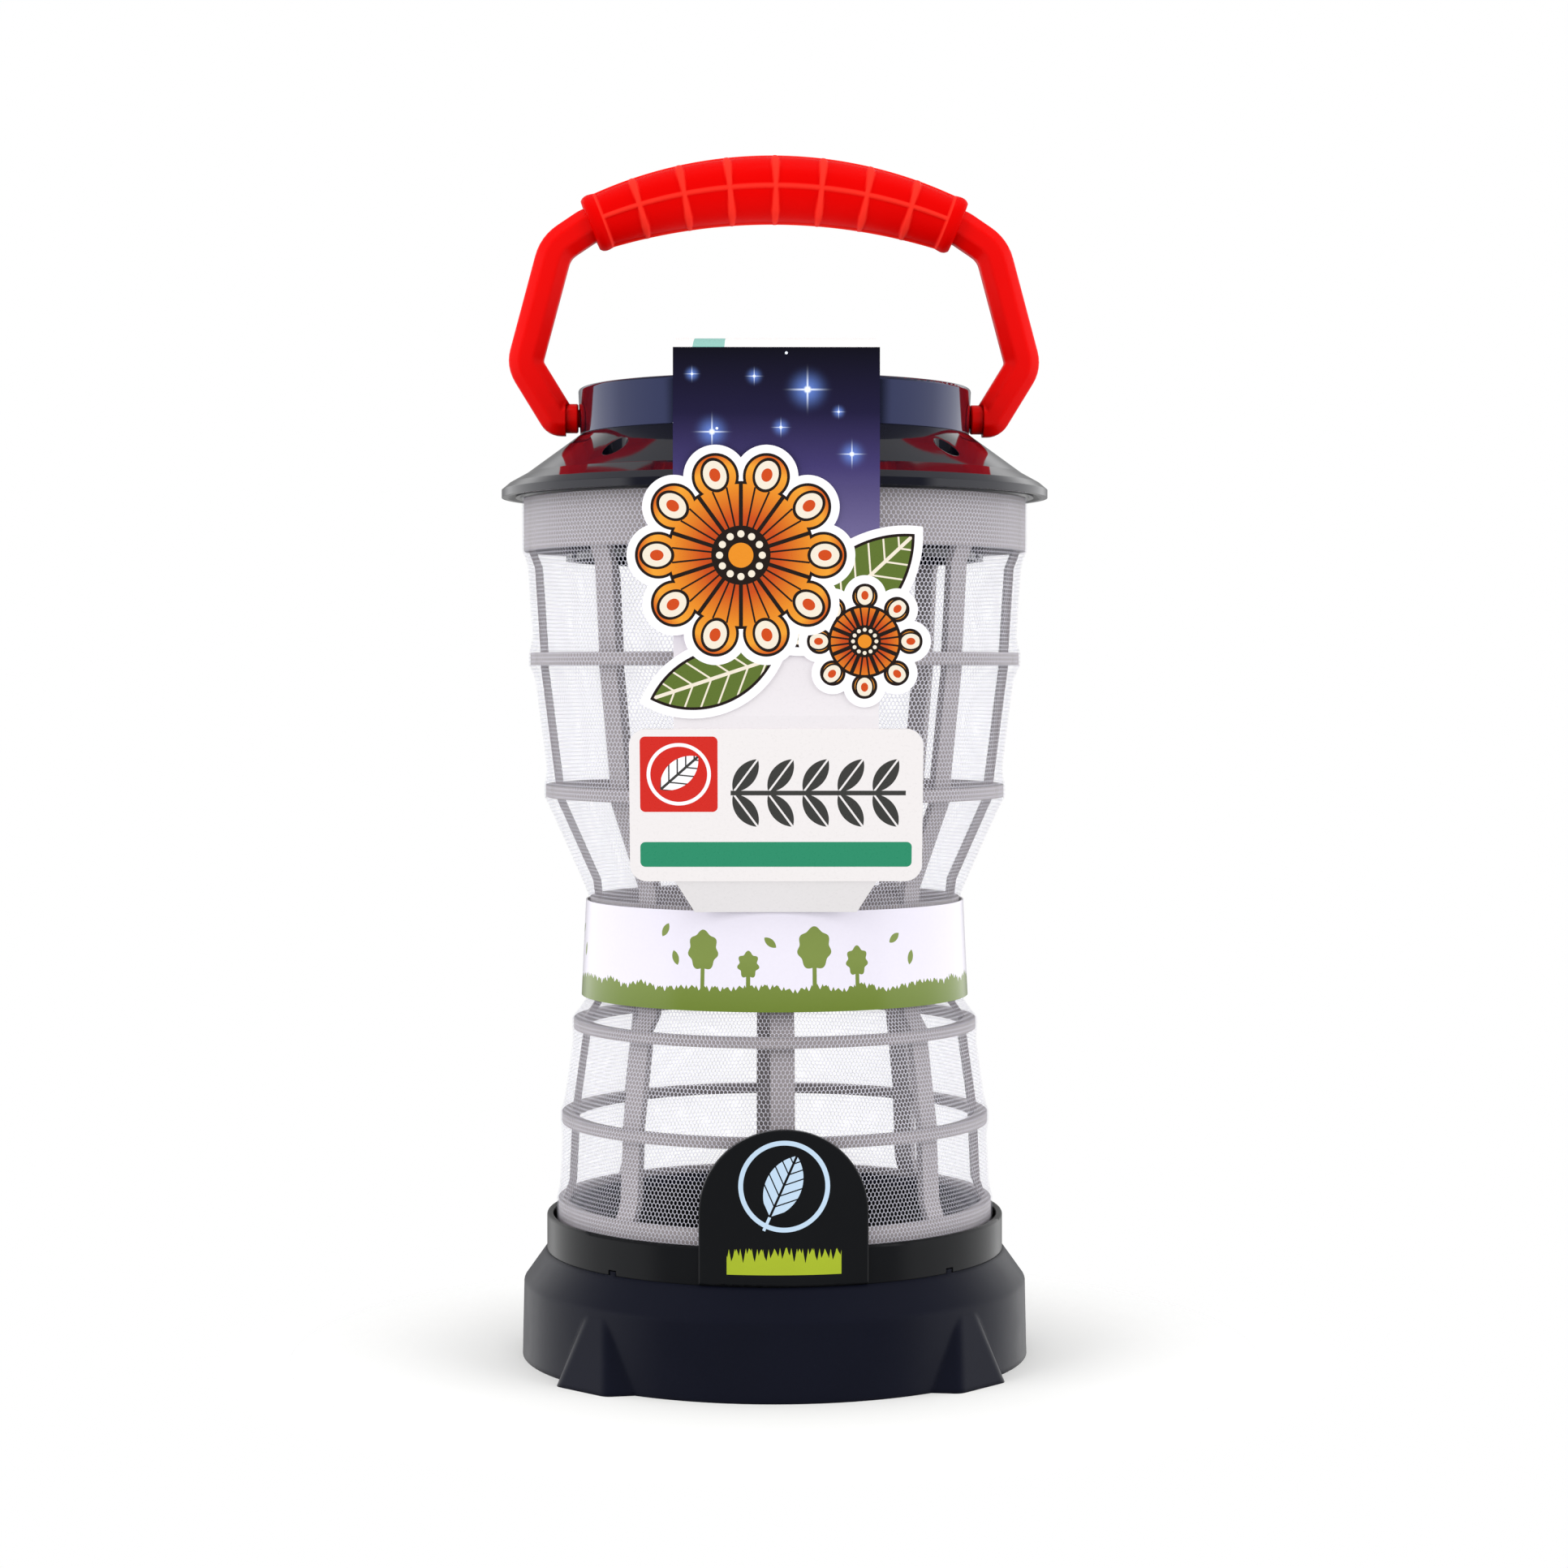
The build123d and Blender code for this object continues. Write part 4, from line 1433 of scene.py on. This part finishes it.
@dataclass
class Cage:
    """The collar, both frames and the net sleeve that is stretched over them."""

    effects: Effects
    rings: tuple[Ring, ...] = (
        Ring(27.6, 38.0, 53.2, 0.6),
        Ring(56.8, 59.2, 52.3, 0.6),
        Ring(79.8, 82.2, 49.4, 0.2),
        Ring(88.0, 112.0, 45.3, 0.2),
        Ring(136.5, 139.5, 56.2, 1.1),
        Ring(168.7, 171.7, 59.9, 1.1),
        Ring(196.5, 209.2, 61.5, 0.0),
    )
    stand_off: float = 0.4
    net_thickness: float = 0.3
    ribs: int = 8
    around: int = 192
    row_step: float = 1.5
    sag: float = 0.7
    blend: float = 5.0
    knit_columns: int = 316
    knit_row: float = 0.97
    foot_margin: float = 0.5
    top_margin: float = 0.1

    def build(self) -> None:
        """Dress the rigid nodes and stretch the net."""
        grey = Moulded("frame_grey", Paint.FRAME_GREY, self.effects, roughness=0.5, edge=0.2)
        paint_node("lower_frame", grey)
        paint_node("upper_frame", grey)
        black = PrintedShield(
            "collar_black",
            Paint.COLLAR_BLACK,
            self.effects,
            roughness=0.22,
            cloud=0.15,
            grain=0.006,
            edge=0.3,
            gloss=0.12,
        )
        paint_node("collar", black)
        self.stretch_net()

    def net_radius(self, height: float, angle: float) -> float:
        """Radius of the stretched net at a height and an angle.

        Args:
            height: Height in millimetres.
            angle: Angle round the axis in radians.

        Returns:
            The radius in millimetres.
        """
        for below, above in zip(self.rings, self.rings[1:]):
            if height <= below.high:
                return below.radius + self.stand_off
            if height < above.low:
                span = above.low - below.high
                share = (height - below.high) / span
                line = below.radius + share * (above.radius - below.radius)
                reach = min(self.blend, span / 2)
                near = min(height - below.high, above.low - height) / reach
                held = 1 - (1 - min(near, 1.0)) ** 2
                bay = math.sin(self.ribs * angle / 2) ** 2
                hollow = math.sin(math.pi * share)
                return line + self.stand_off - below.recess * held - self.sag * bay * hollow
        return self.rings[-1].radius + self.stand_off

    def heights(self) -> list[float]:
        """Levels of the net's rows, with one at each ring's edge.

        Returns:
            The levels, bottom to top.
        """
        low = self.rings[0].low + self.foot_margin
        high = self.rings[-1].high - self.top_margin
        stops = [low] + [h for ring in self.rings for h in (ring.low, ring.high) if low < h < high] + [high]
        levels = [low]
        for start, end in zip(stops, stops[1:]):
            steps = max(1, round((end - start) / self.row_step))
            levels += [start + (end - start) * (i + 1) / steps for i in range(steps)]
        return levels

    def stretch_net(self) -> None:
        levels = self.heights()
        count, rows = self.around, len(levels)
        skins = (0.0, self.net_thickness)
        verts = []
        for depth in skins:
            for height in levels:
                for i in range(count):
                    angle = FULL_TURN * i / count
                    radius = self.net_radius(height, angle) - depth
                    verts.append((radius * math.sin(angle), radius * math.cos(angle), height))
        run = [0.0]
        for a, b in zip(levels, levels[1:]):
            run.append(run[-1] + math.hypot(b - a, self.net_radius(b, 0.0) - self.net_radius(a, 0.0)))
        faces, corners = [], []
        inner, last = rows * count, (rows - 1) * count
        for i in range(count):
            j = (i + 1) % count
            for row in range(rows - 1):
                low, high = row * count, (row + 1) * count
                faces.append((low + j, low + i, high + i, high + j))
                corners.append(((i + 1, row), (i, row), (i, row + 1), (i + 1, row + 1)))
                faces.append((inner + low + i, inner + low + j, inner + high + j, inner + high + i))
                corners.append(((i, row), (i + 1, row), (i + 1, row + 1), (i, row + 1)))
            faces.append((i, j, inner + j, inner + i))
            corners.append(((i, 0), (i + 1, 0), (i + 1, 0), (i, 0)))
            faces.append((last + j, last + i, inner + last + i, inner + last + j))
            corners.append(((i + 1, rows - 1), (i, rows - 1), (i, rows - 1), (i + 1, rows - 1)))
        net = shell("stretch_net", verts, faces)
        knit = net.data.uv_layers.new(name=KNIT_MAP)
        for face, places in zip(net.data.polygons, corners):
            for loop, (column, level) in zip(face.loop_indices, places):
                knit.data[loop].uv = (column / count, run[level] / run[-1])
        net.data.materials.append(KnitNet("net_white", self.knit_columns, run[-1] / self.knit_row).material())
        seat(net, "cage", "net_white", "net_sleeve")
        widest = FULL_TURN * (self.rings[-1].radius + self.stand_off) * MM


@dataclass
class Lid:
    """The cone with its brim, the drum and the screws in their wells."""

    effects: Effects
    screw_circle: float = 54.8
    screw_count: int = 4
    screw_turn: float = 45.0
    screw_sides: int = 32
    head_radius: float = 2.8
    head_height: float = 2.0
    shank_radius: float = 1.5
    slot_length: float = 3.8
    slot_width: float = 0.9
    # painted reflection: the drum reflects more strongly, and in blue, than the rest of the same navy lid
    drum_gloss: float = 1.0
    drum_reflection_tint: tuple[float, float, float] = (0.36, 0.43, 1.0)

    def build(self) -> None:
        """Dress the lid's nodes and set the screws."""
        navy = Moulded("lid_navy", Paint.LID_NAVY, self.effects, roughness=0.06, smear=0.03, grain=0.0005)
        paint_node("lid_brim", navy)
        # painted reflection: a copy of the lid's navy with a stronger, blue-tinted reflection for the drum
        paint_node("lid_drum", replace(navy, gloss=self.drum_gloss, tint=self.drum_reflection_tint))
        low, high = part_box("lid_screws")
        screws = realised(
            "lid_cross_screws",
            self.screw_tree(),
            {
                "Circle": self.screw_circle * MM,
                "Count": self.screw_count,
                "Head Top": high.z,
                "Shank End": low.z,
            },
            PlatedSteel("screw_steel").material(),
        )
        tidy_mesh(screws)
        seat(screws, "cage", "screw_steel", "lid_screws")

    def screw_tree(self) -> bpy.types.NodeTree:
        """Geometry group that sets cross-slotted screws on a circle.

        Returns:
            The group.
        """
        g, given, out = geometry_graph(
            "screw_ring", {"Circle": VALUE, "Count": COUNT, "Head Top": VALUE, "Shank End": VALUE}
        )

        def lifted(mesh: Signal, rise: Number) -> Signal:
            """The mesh, lifted."""
            return g.shape("GeometryNodeTransform", Geometry=mesh, Translation=g.combine(z=rise))

        def rod(radius: float, depth: Number, middle: Number) -> Signal:
            """An upright cylinder."""
            sizes = {"Vertices": self.screw_sides, "Radius": radius * MM, "Depth": depth}
            return lifted(g.shape("GeometryNodeMeshCylinder", **sizes), middle)

        top, end, head_height = given["Head Top"], given["Shank End"], self.head_height * MM
        head_foot = top - head_height
        cut = g.add("GeometryNodeMeshBoolean", operation="DIFFERENCE")
        g.wire(cut, Mesh_1=rod(self.head_radius, head_height, top - head_height / 2))
        for long, wide in ((self.slot_length, self.slot_width), (self.slot_width, self.slot_length)):
            bar = g.shape("GeometryNodeMeshCube", Size=(long * MM, wide * MM, head_height))
            g.wire(cut, Mesh_2=lifted(bar, top))
        screw = g.add("GeometryNodeJoinGeometry")
        g.wire(screw, Geometry=Signal(g, cut.outputs["Mesh"]))
        g.wire(screw, Geometry=rod(self.shank_radius, head_foot - end, (head_foot + end) * 0.5))
        ring = g.shape("GeometryNodeMeshCircle", Vertices=given["Count"], Radius=given["Circle"])
        turn = (0.0, 0.0, math.radians(self.screw_turn))
        points = g.shape("GeometryNodeTransform", Geometry=ring, Rotation=turn)
        spread = g.shape("GeometryNodeInstanceOnPoints", Points=points, Instance=Signal(g, screw.outputs[0]))
        g.hand_out(out, spread, given["Finish"])
        return g.tree


@dataclass
class Handle:
    """The carrying bail with its panelled grip, and the clips on its axles."""

    effects: Effects
    hub_face: float = 48.15
    bar_start: float = 51.2
    hub_radius: float = 3.6
    hub_soft: float = 0.3
    hub_spins: int = 40
    axle_radius: float = 2.2
    axle_end: float = 40.4
    steps: tuple[Point2, ...] = ((1.98, 0.0), (8.1, 13.2), (-7.6, 28.5), (-7.7, 5.2))
    bend_radii: tuple[float, ...] = (5.0, 6.0, 9.0, 7.0)
    bend_share: float = 0.45
    bend_points: int = 7
    arc_rise: float = 9.3
    arc_points: int = 25
    arc_gap: float = 1.0
    bar_width: float = 8.6
    bar_sides: int = 8
    bar_round: float = 1.5
    bar_sharp: float = 40.0
    grip_margin: float = 0.006
    grip_end_radius: float = 6.7
    grip_middle_radius: float = 8.5
    grip_points: tuple[int, int] = (289, 129)
    grip_corner: float = 1.3
    grip_sharp: float = 60.0
    lip_run: float = 2.0
    lip_rise: float = 0.3
    panel_pitch: float = 11.2
    panel_reach: float = 43.4
    panel_rows: int = 4
    panel_edge: Point2 = (0.4, 0.8)
    ridge_waist: float = 0.75
    ridge_spread: float = 1.3
    seam_share: float = 1.5
    recess: float = 0.5
    ridge: float = 1.1

    def __post_init__(self) -> None:
        """Take the pivot from the hinge and lay out the bar's corners."""
        hinge = next(j for j in frame["joints"] if j["type"] == "hinge")
        self.pivot = hinge["pos_m"][2] / MM
        corners = [(self.bar_start, self.pivot)]
        for across, up in self.steps:
            corners.append((corners[-1][0] + across, corners[-1][1] + up))
        self.corners = corners
        reach, self.arc_foot = corners[-1]
        self.arc_radius = (reach**2 + self.arc_rise**2) / (2 * self.arc_rise)
        self.arc_centre = self.arc_foot + self.arc_rise - self.arc_radius
        self.arc_half = math.asin(reach / self.arc_radius)

    def build(self) -> None:
        """Make the bail and the grip, and dress the clips."""
        self.make_bail()
        self.make_grip()
        paint_node("pivot_clips", PlatedSteel("clip_steel"))

    def route(self) -> list[Point2]:
        """The bar's middle line, with round bends.

        Returns:
            Points from the right hub to the left one.
        """
        arc = []
        for i in range(self.arc_points):
            angle = self.arc_half * (1 - 2 * i / (self.arc_points - 1))
            height = self.arc_centre + self.arc_radius * math.cos(angle)
            arc.append((self.arc_radius * math.sin(angle), height))
        right = [self.corners[0]]
        path = self.corners + [arc[1]]
        for before, corner, after, radius in zip(path, path[1:], path[2:], self.bend_radii):
            right += self.bend(Vector(before), Vector(corner), Vector(after), radius)
        left = [(-x, z) for x, z in reversed(right)]
        inner = [p for p in arc if abs(p[0]) < right[-1][0] - self.arc_gap]
        return right + inner + left

    def bend(self, before: Vector, corner: Vector, after: Vector, radius: float) -> list[Point2]:
        """Points round one corner of the bar.

        Args:
            before: The corner before it.
            corner: The corner.
            after: The corner after it.
            radius: Radius of the bend.

        Returns:
            Points along the bend.
        """
        start, end = (before - corner), (after - corner)
        half = start.angle(end) / 2
        run = min(radius / math.tan(half), self.bend_share * min(start.length, end.length))
        first, last = corner + start.normalized() * run, corner + end.normalized() * run
        points = []
        for i in range(self.bend_points):
            t = i / (self.bend_points - 1)
            points.append(tuple(first * (1 - t) ** 2 + corner * 2 * t * (1 - t) + last * t**2))
        return points

    def bar_section(self) -> list[Point2]:
        """An even-sided bar with round corners.

        Returns:
            Places across the bar.
        """
        half = math.pi / self.bar_sides
        core = (self.bar_width / 2 - self.bar_round) / math.cos(half)
        section = []
        for side in range(self.bar_sides):
            middle = half * (2 * side + 1)
            for step in (-2, -1, 0, 1, 2):
                angle = middle + step * half / 2
                across = core * math.cos(middle) + self.bar_round * math.cos(angle)
                deep = core * math.sin(middle) + self.bar_round * math.sin(angle)
                section.append((across, deep))
        return section

    def make_bail(self) -> None:
        """Sweep the bar and add its hubs and axles."""
        route = [Vector(p) for p in self.route()]
        section = self.bar_section()
        verts, faces = [], []
        for i, place in enumerate(route):
            ahead = route[min(i + 1, len(route) - 1)] - route[max(i - 1, 0)]
            ahead.normalize()
            out = Vector((ahead.y, -ahead.x))
            for across, deep in section:
                verts.append((place.x + out.x * across, deep, place.y + out.y * across))
        count = len(section)
        for ring in range(len(route) - 1):
            for k in range(count):
                a, b = ring * count + k, ring * count + (k + 1) % count
                faces.append((a, b, b + count, a + count))
        faces.append(tuple(range(count)))
        faces.append(tuple(range((len(route) - 1) * count, len(route) * count)))
        for side in (1, -1):
            self.add_hub(verts, faces, side)
        bail = shell("carry_bail", verts, faces)
        tidy_mesh(bail, self.bar_sharp)
        red = Moulded(
            "bail_red",
            Paint.BAIL_RED,
            self.effects,
            roughness=0.3,
            cloud=0.06,
            grain=0.006,
            edge=0.5,
            gloss=0.08,
        )
        bail.data.materials.append(red.material())
        seat(bail, "handle", "bail_red", "bail")

    def add_hub(self, verts: list, faces: list, side: int) -> None:
        """Add a hub and its stub axle to a mesh in the making.

        Args:
            verts: Places of the mesh's points.
            faces: The mesh's faces.
            side: 1 for the right hub, -1 for the left.
        """
        spins, soft, end = self.hub_spins, self.hub_soft, self.corners[1][0]
        profile = (
            (self.axle_end, 0.0),
            (self.axle_end, self.axle_radius),
            (self.hub_face, self.axle_radius),
            (self.hub_face, self.hub_radius - soft),
            (self.hub_face + soft, self.hub_radius),
            (end - soft, self.hub_radius),
            (end, self.hub_radius - soft),
            (end, 0.0),
        )
        start = len(verts)
        for reach, radius in profile:
            for k in range(spins):
                angle = FULL_TURN * k / spins
                verts.append((side * reach, radius * math.cos(angle), self.pivot + radius * math.sin(angle)))
        for ring in range(len(profile) - 1):
            for k in range(spins):
                a, b = start + ring * spins + k, start + ring * spins + (k + 1) % spins
                faces.append((a, b, b + spins, a + spins))

    def make_grip(self) -> None:
        """Run the grip's geometry group and seat the grip on the bail."""
        red = GripRubber(
            "grip_red",
            Paint.GRIP_RED,
            self.effects,
            roughness=0.42,
            cloud=0.08,
            grain=0.015,
            edge=0.0,
            gloss=0.03,
        )
        sizes = {
            "Arc Radius": self.arc_radius * MM,
            "Arc Centre": self.arc_centre * MM,
            "Half Angle": self.arc_half * (1 - 2 * self.grip_margin),
            "End Radius": self.grip_end_radius * MM,
            "Middle Radius": self.grip_middle_radius * MM,
            "Recess": self.recess * MM,
            "Ridge": self.ridge * MM,
        }
        grip = realised("panelled_grip", self.grip_tree(list(sizes)), sizes, red.material())
        tidy_mesh(grip, self.grip_sharp)
        seat(grip, "handle", "grip_red", "grip_sleeve")

    def grip_tree(self, sizes: Sequence[str]) -> bpy.types.NodeTree:
        """Geometry group for a barrel along an arc, with rows of sunk panels between ridges.

        Args:
            sizes: Names of the group's inputs.

        Returns:
            The group.
        """
        g, given, out = geometry_graph("panel_barrel", dict.fromkeys(sizes, VALUE))
        share, lap, _ = g.split(g.read("GeometryNodeInputPosition"))
        angle, bow = lap * FULL_TURN, share * 2.0
        swell = 1.0 - bow * bow
        barrel = given["End Radius"] + (given["Middle Radius"] - given["End Radius"]) * swell

        # Distances to the nearest ridge, the nearest seam between rows and the last panel's end
        half_run = given["Arc Radius"] * given["Half Angle"]
        run = half_run * bow
        row_turn = FULL_TURN / self.panel_rows
        row = (angle / row_turn).wrap(1.0).abs()
        from_ridge = run.wrap(self.panel_pitch * MM).abs() / (row * self.ridge_spread + self.ridge_waist)
        from_seam = row * barrel * row_turn * self.seam_share
        from_end = self.panel_reach * MM - run.abs()
        within = from_end.above(0.0)
        nearest = g.least(g.least(from_ridge, from_seam), from_end)
        sunk = (nearest / given["Ridge"]).fade(*self.panel_edge) * within

        # The grip's ends: a low lip, a round corner, and the points of the last rings on the axis
        end = half_run - run.abs()
        lip = 1.0 - (end - self.lip_run * MM).abs().fade(0.0, self.lip_run * MM)
        corner = g.most(1.0 - end / (self.grip_corner * MM), 0.0)
        cut_back = (1.0 - g.math("SQRT", 1.0 - corner * corner)) * (self.grip_corner * MM)
        radius = barrel - given["Recess"] * sunk + lip * (self.lip_rise * MM) - cut_back
        radius = radius * end.above(SLIVER * MM)

        reach, sweep = given["Arc Radius"] + radius * angle.cos(), given["Half Angle"] * bow
        place = g.combine(
            reach * sweep.sin(), radius * angle.sin(), given["Arc Centre"] + reach * sweep.cos()
        )
        along, around = self.grip_points
        grid = g.shape("GeometryNodeMeshGrid", Size_X=1.0, Size_Y=1.0, Vertices_X=along, Vertices_Y=around)
        # mask of the raised ridges, which carries the grip's painted highlight
        store = g.add("GeometryNodeStoreNamedAttribute", data_type="FLOAT", domain="POINT")
        g.wire(store, Geometry=grid, Name=RIDGE_HIGHLIGHT_MASK, Value=(1.0 - sunk) * within)
        mesh = g.shape("GeometryNodeSetPosition", Geometry=Signal(g, store.outputs[0]), Position=place)
        mesh = g.shape("GeometryNodeMergeByDistance", Geometry=mesh, Distance=WELD * MM)
        mesh = g.shape("GeometryNodeSetShadeSmooth", Geometry=mesh)
        g.hand_out(out, mesh, given["Finish"])
        return g.tree


@dataclass
class Wrapping:
    """The printed card over the lid and the paper band round the waist."""

    effects: Effects
    card_turn: float = -1.9

    def build(self) -> None:
        """Dress the card's and the band's nodes."""
        paint_node("card_strap", NightCard("strap_card", self.effects, turn=self.card_turn, gloss=0.2))
        paint_node("card_picture", FlowerCard("picture_card", self.effects, turn=self.card_turn))
        paint_node("label_plate", PlateCard("plate_card", self.effects, turn=self.card_turn))
        paint_node("waist_band", MeadowPaper("band_paper", self.effects, roughness=0.2))


@dataclass(frozen=True)
class SoftBox:
    """A square lamp, with its place and width in metres and its power in watts."""

    name: str
    place: tuple[float, float, float]
    width: float
    power: float


@dataclass
class Studio:
    """The camera, the lamps, the white surround and the floor.

    The surround's edges are sines of the direction's angle, towards the back or upwards.
    """

    distance: float = 800.0
    eye_height: float = 166.8
    azimuth: float = -2.4
    aim_height: float = 153.5
    aim_side: float = 2.3
    shift: float = -0.0365
    lens: float = 74.6
    sensor: float = 36.0
    clip_start: float = 10.0
    fill_light: float = 0.88
    panel_gloss: float = 1.25
    front_gloss: float = 0.15
    front_edge: Point2 = (-0.5, -0.34)
    back_gloss: float = 1.4
    back_edge: Point2 = (0.2, 0.42)
    far_gloss: float = 0.35
    far_edge: Point2 = (0.84, 0.98)
    ceiling_share: float = 0.3
    ceiling_edge: Point2 = (0.3, 0.62)
    floor_share: float = 0.3
    floor_edge: Point2 = (-0.5, -0.15)
    floor_reach: float = 76.0
    floor_fade: float = 65.0
    floor_sides: int = 96
    lamp_aim: float = 140.0
    lamps: tuple[SoftBox, ...] = (
        SoftBox("left_box", (-0.95, -0.6, 0.55), 0.8, 6.5),
        SoftBox("right_box", (1.0, -0.55, 0.5), 0.8, 6.1),
        SoftBox("top_box", (0.0, 0.1, 1.25), 0.9, 3.6),
    )

    def build(self) -> None:
        """Set up the whole studio."""
        self.set_camera()
        self.set_surround()
        self.set_lamps()
        self.lay_floor()
        bpy.context.scene.view_settings.view_transform = "Standard"

    def set_camera(self) -> None:
        """Place the camera at the photograph's viewpoint."""
        turn = math.radians(self.azimuth)
        back = Vector((math.sin(turn), -math.cos(turn), 0.0))
        side = Vector((math.cos(turn), math.sin(turn), 0.0)) * self.aim_side * MM
        eye = back * self.distance * MM + side + Vector((0.0, 0.0, self.eye_height * MM))
        aim = side + Vector((0.0, 0.0, self.aim_height * MM))
        data = bpy.data.cameras.new("camera")
        data.lens = self.lens
        data.sensor_width = self.sensor
        data.shift_y = self.shift
        data.clip_start = self.clip_start * MM
        camera = bpy.data.objects.new("camera", data)
        camera.location = eye
        camera.rotation_mode = "QUATERNION"
        camera.rotation_quaternion = (aim - eye).to_track_quat("-Z", "Y")
        bpy.context.scene.collection.objects.link(camera)
        bpy.context.scene.camera = camera

    def set_surround(self) -> None:
        """White to the eye, softer as light, and a room with bright sides and back in reflections."""
        world = bpy.data.worlds.new("surround")
        world.use_nodes = True
        world.cycles.sampling_method = "NONE"
        bpy.context.scene.world = world
        g = Graph(world.node_tree)
        rays = g.add("ShaderNodeLightPath")
        eye, passed, mirrored = (
            Signal(g, rays.outputs[f"Is {kind} Ray"]) for kind in ("Camera", "Transmission", "Glossy")
        )
        seen = g.most(eye, passed)
        _, ahead, up = g.split(g.read("ShaderNodeTexCoord", "Generated"))
        room = ahead.fade(*self.front_edge) * (self.panel_gloss - self.front_gloss) + self.front_gloss
        room = room - ahead.fade(*self.back_edge) * (self.panel_gloss - self.back_gloss)
        room = room - ahead.fade(*self.far_edge) * (self.back_gloss - self.far_gloss)
        room = room * (1.0 - up.fade(*self.ceiling_edge) * (1.0 - self.ceiling_share))
        room = room * (up.fade(*self.floor_edge) * (1.0 - self.floor_share) + self.floor_share)
        level = mirrored * (room - self.fill_light) + self.fill_light
        level = seen * (1.0 - level) + level
        light = g.wire(g.add("ShaderNodeBackground"), Color=(1.0, 1.0, 1.0, 1.0), Strength=level)
        g.wire(g.add("ShaderNodeOutputWorld"), Surface=Signal(g, light.outputs[0]))

    def set_lamps(self) -> None:
        """Soft boxes at both sides and above, unseen in reflections."""
        target = Vector((0.0, 0.0, self.lamp_aim * MM))
        for box in self.lamps:
            data = bpy.data.lights.new(box.name, "AREA")
            data.shape = "SQUARE"
            data.size = box.width
            data.energy = box.power
            lamp = bpy.data.objects.new(box.name, data)
            lamp.visible_glossy = False
            lamp.location = box.place
            lamp.rotation_mode = "QUATERNION"
            lamp.rotation_quaternion = (target - lamp.location).to_track_quat("-Z", "Y")
            bpy.context.scene.collection.objects.link(lamp)

    def lay_floor(self) -> None:
        """A round plain floor under the object, faded out into the white beyond it."""
        reach = self.floor_reach + self.floor_fade
        angles = [FULL_TURN * k / self.floor_sides for k in range(self.floor_sides)]
        rim = [(reach * math.cos(angle), reach * math.sin(angle), 0.0) for angle in angles]
        floor = shell("studio_floor", rim, (tuple(range(self.floor_sides)),))
        floor.data.materials.append(FloorPaint("floor_white", self.floor_reach, reach).material())
        floor.visible_glossy = False


def main() -> None:
    """Build each sub-assembly in order."""
    logging.basicConfig(level=logging.INFO, format="%(name)s: %(message)s")
    effects = Effects()
    parts: Sequence[Callable[[], None]] = (
        Studio().build,
        Base(effects).build,
        Cage(effects).build,
        Lid(effects).build,
        Handle(effects).build,
        Wrapping(effects).build,
    )
    for build in parts:
        build()


if __name__ == "__main__":
    main()
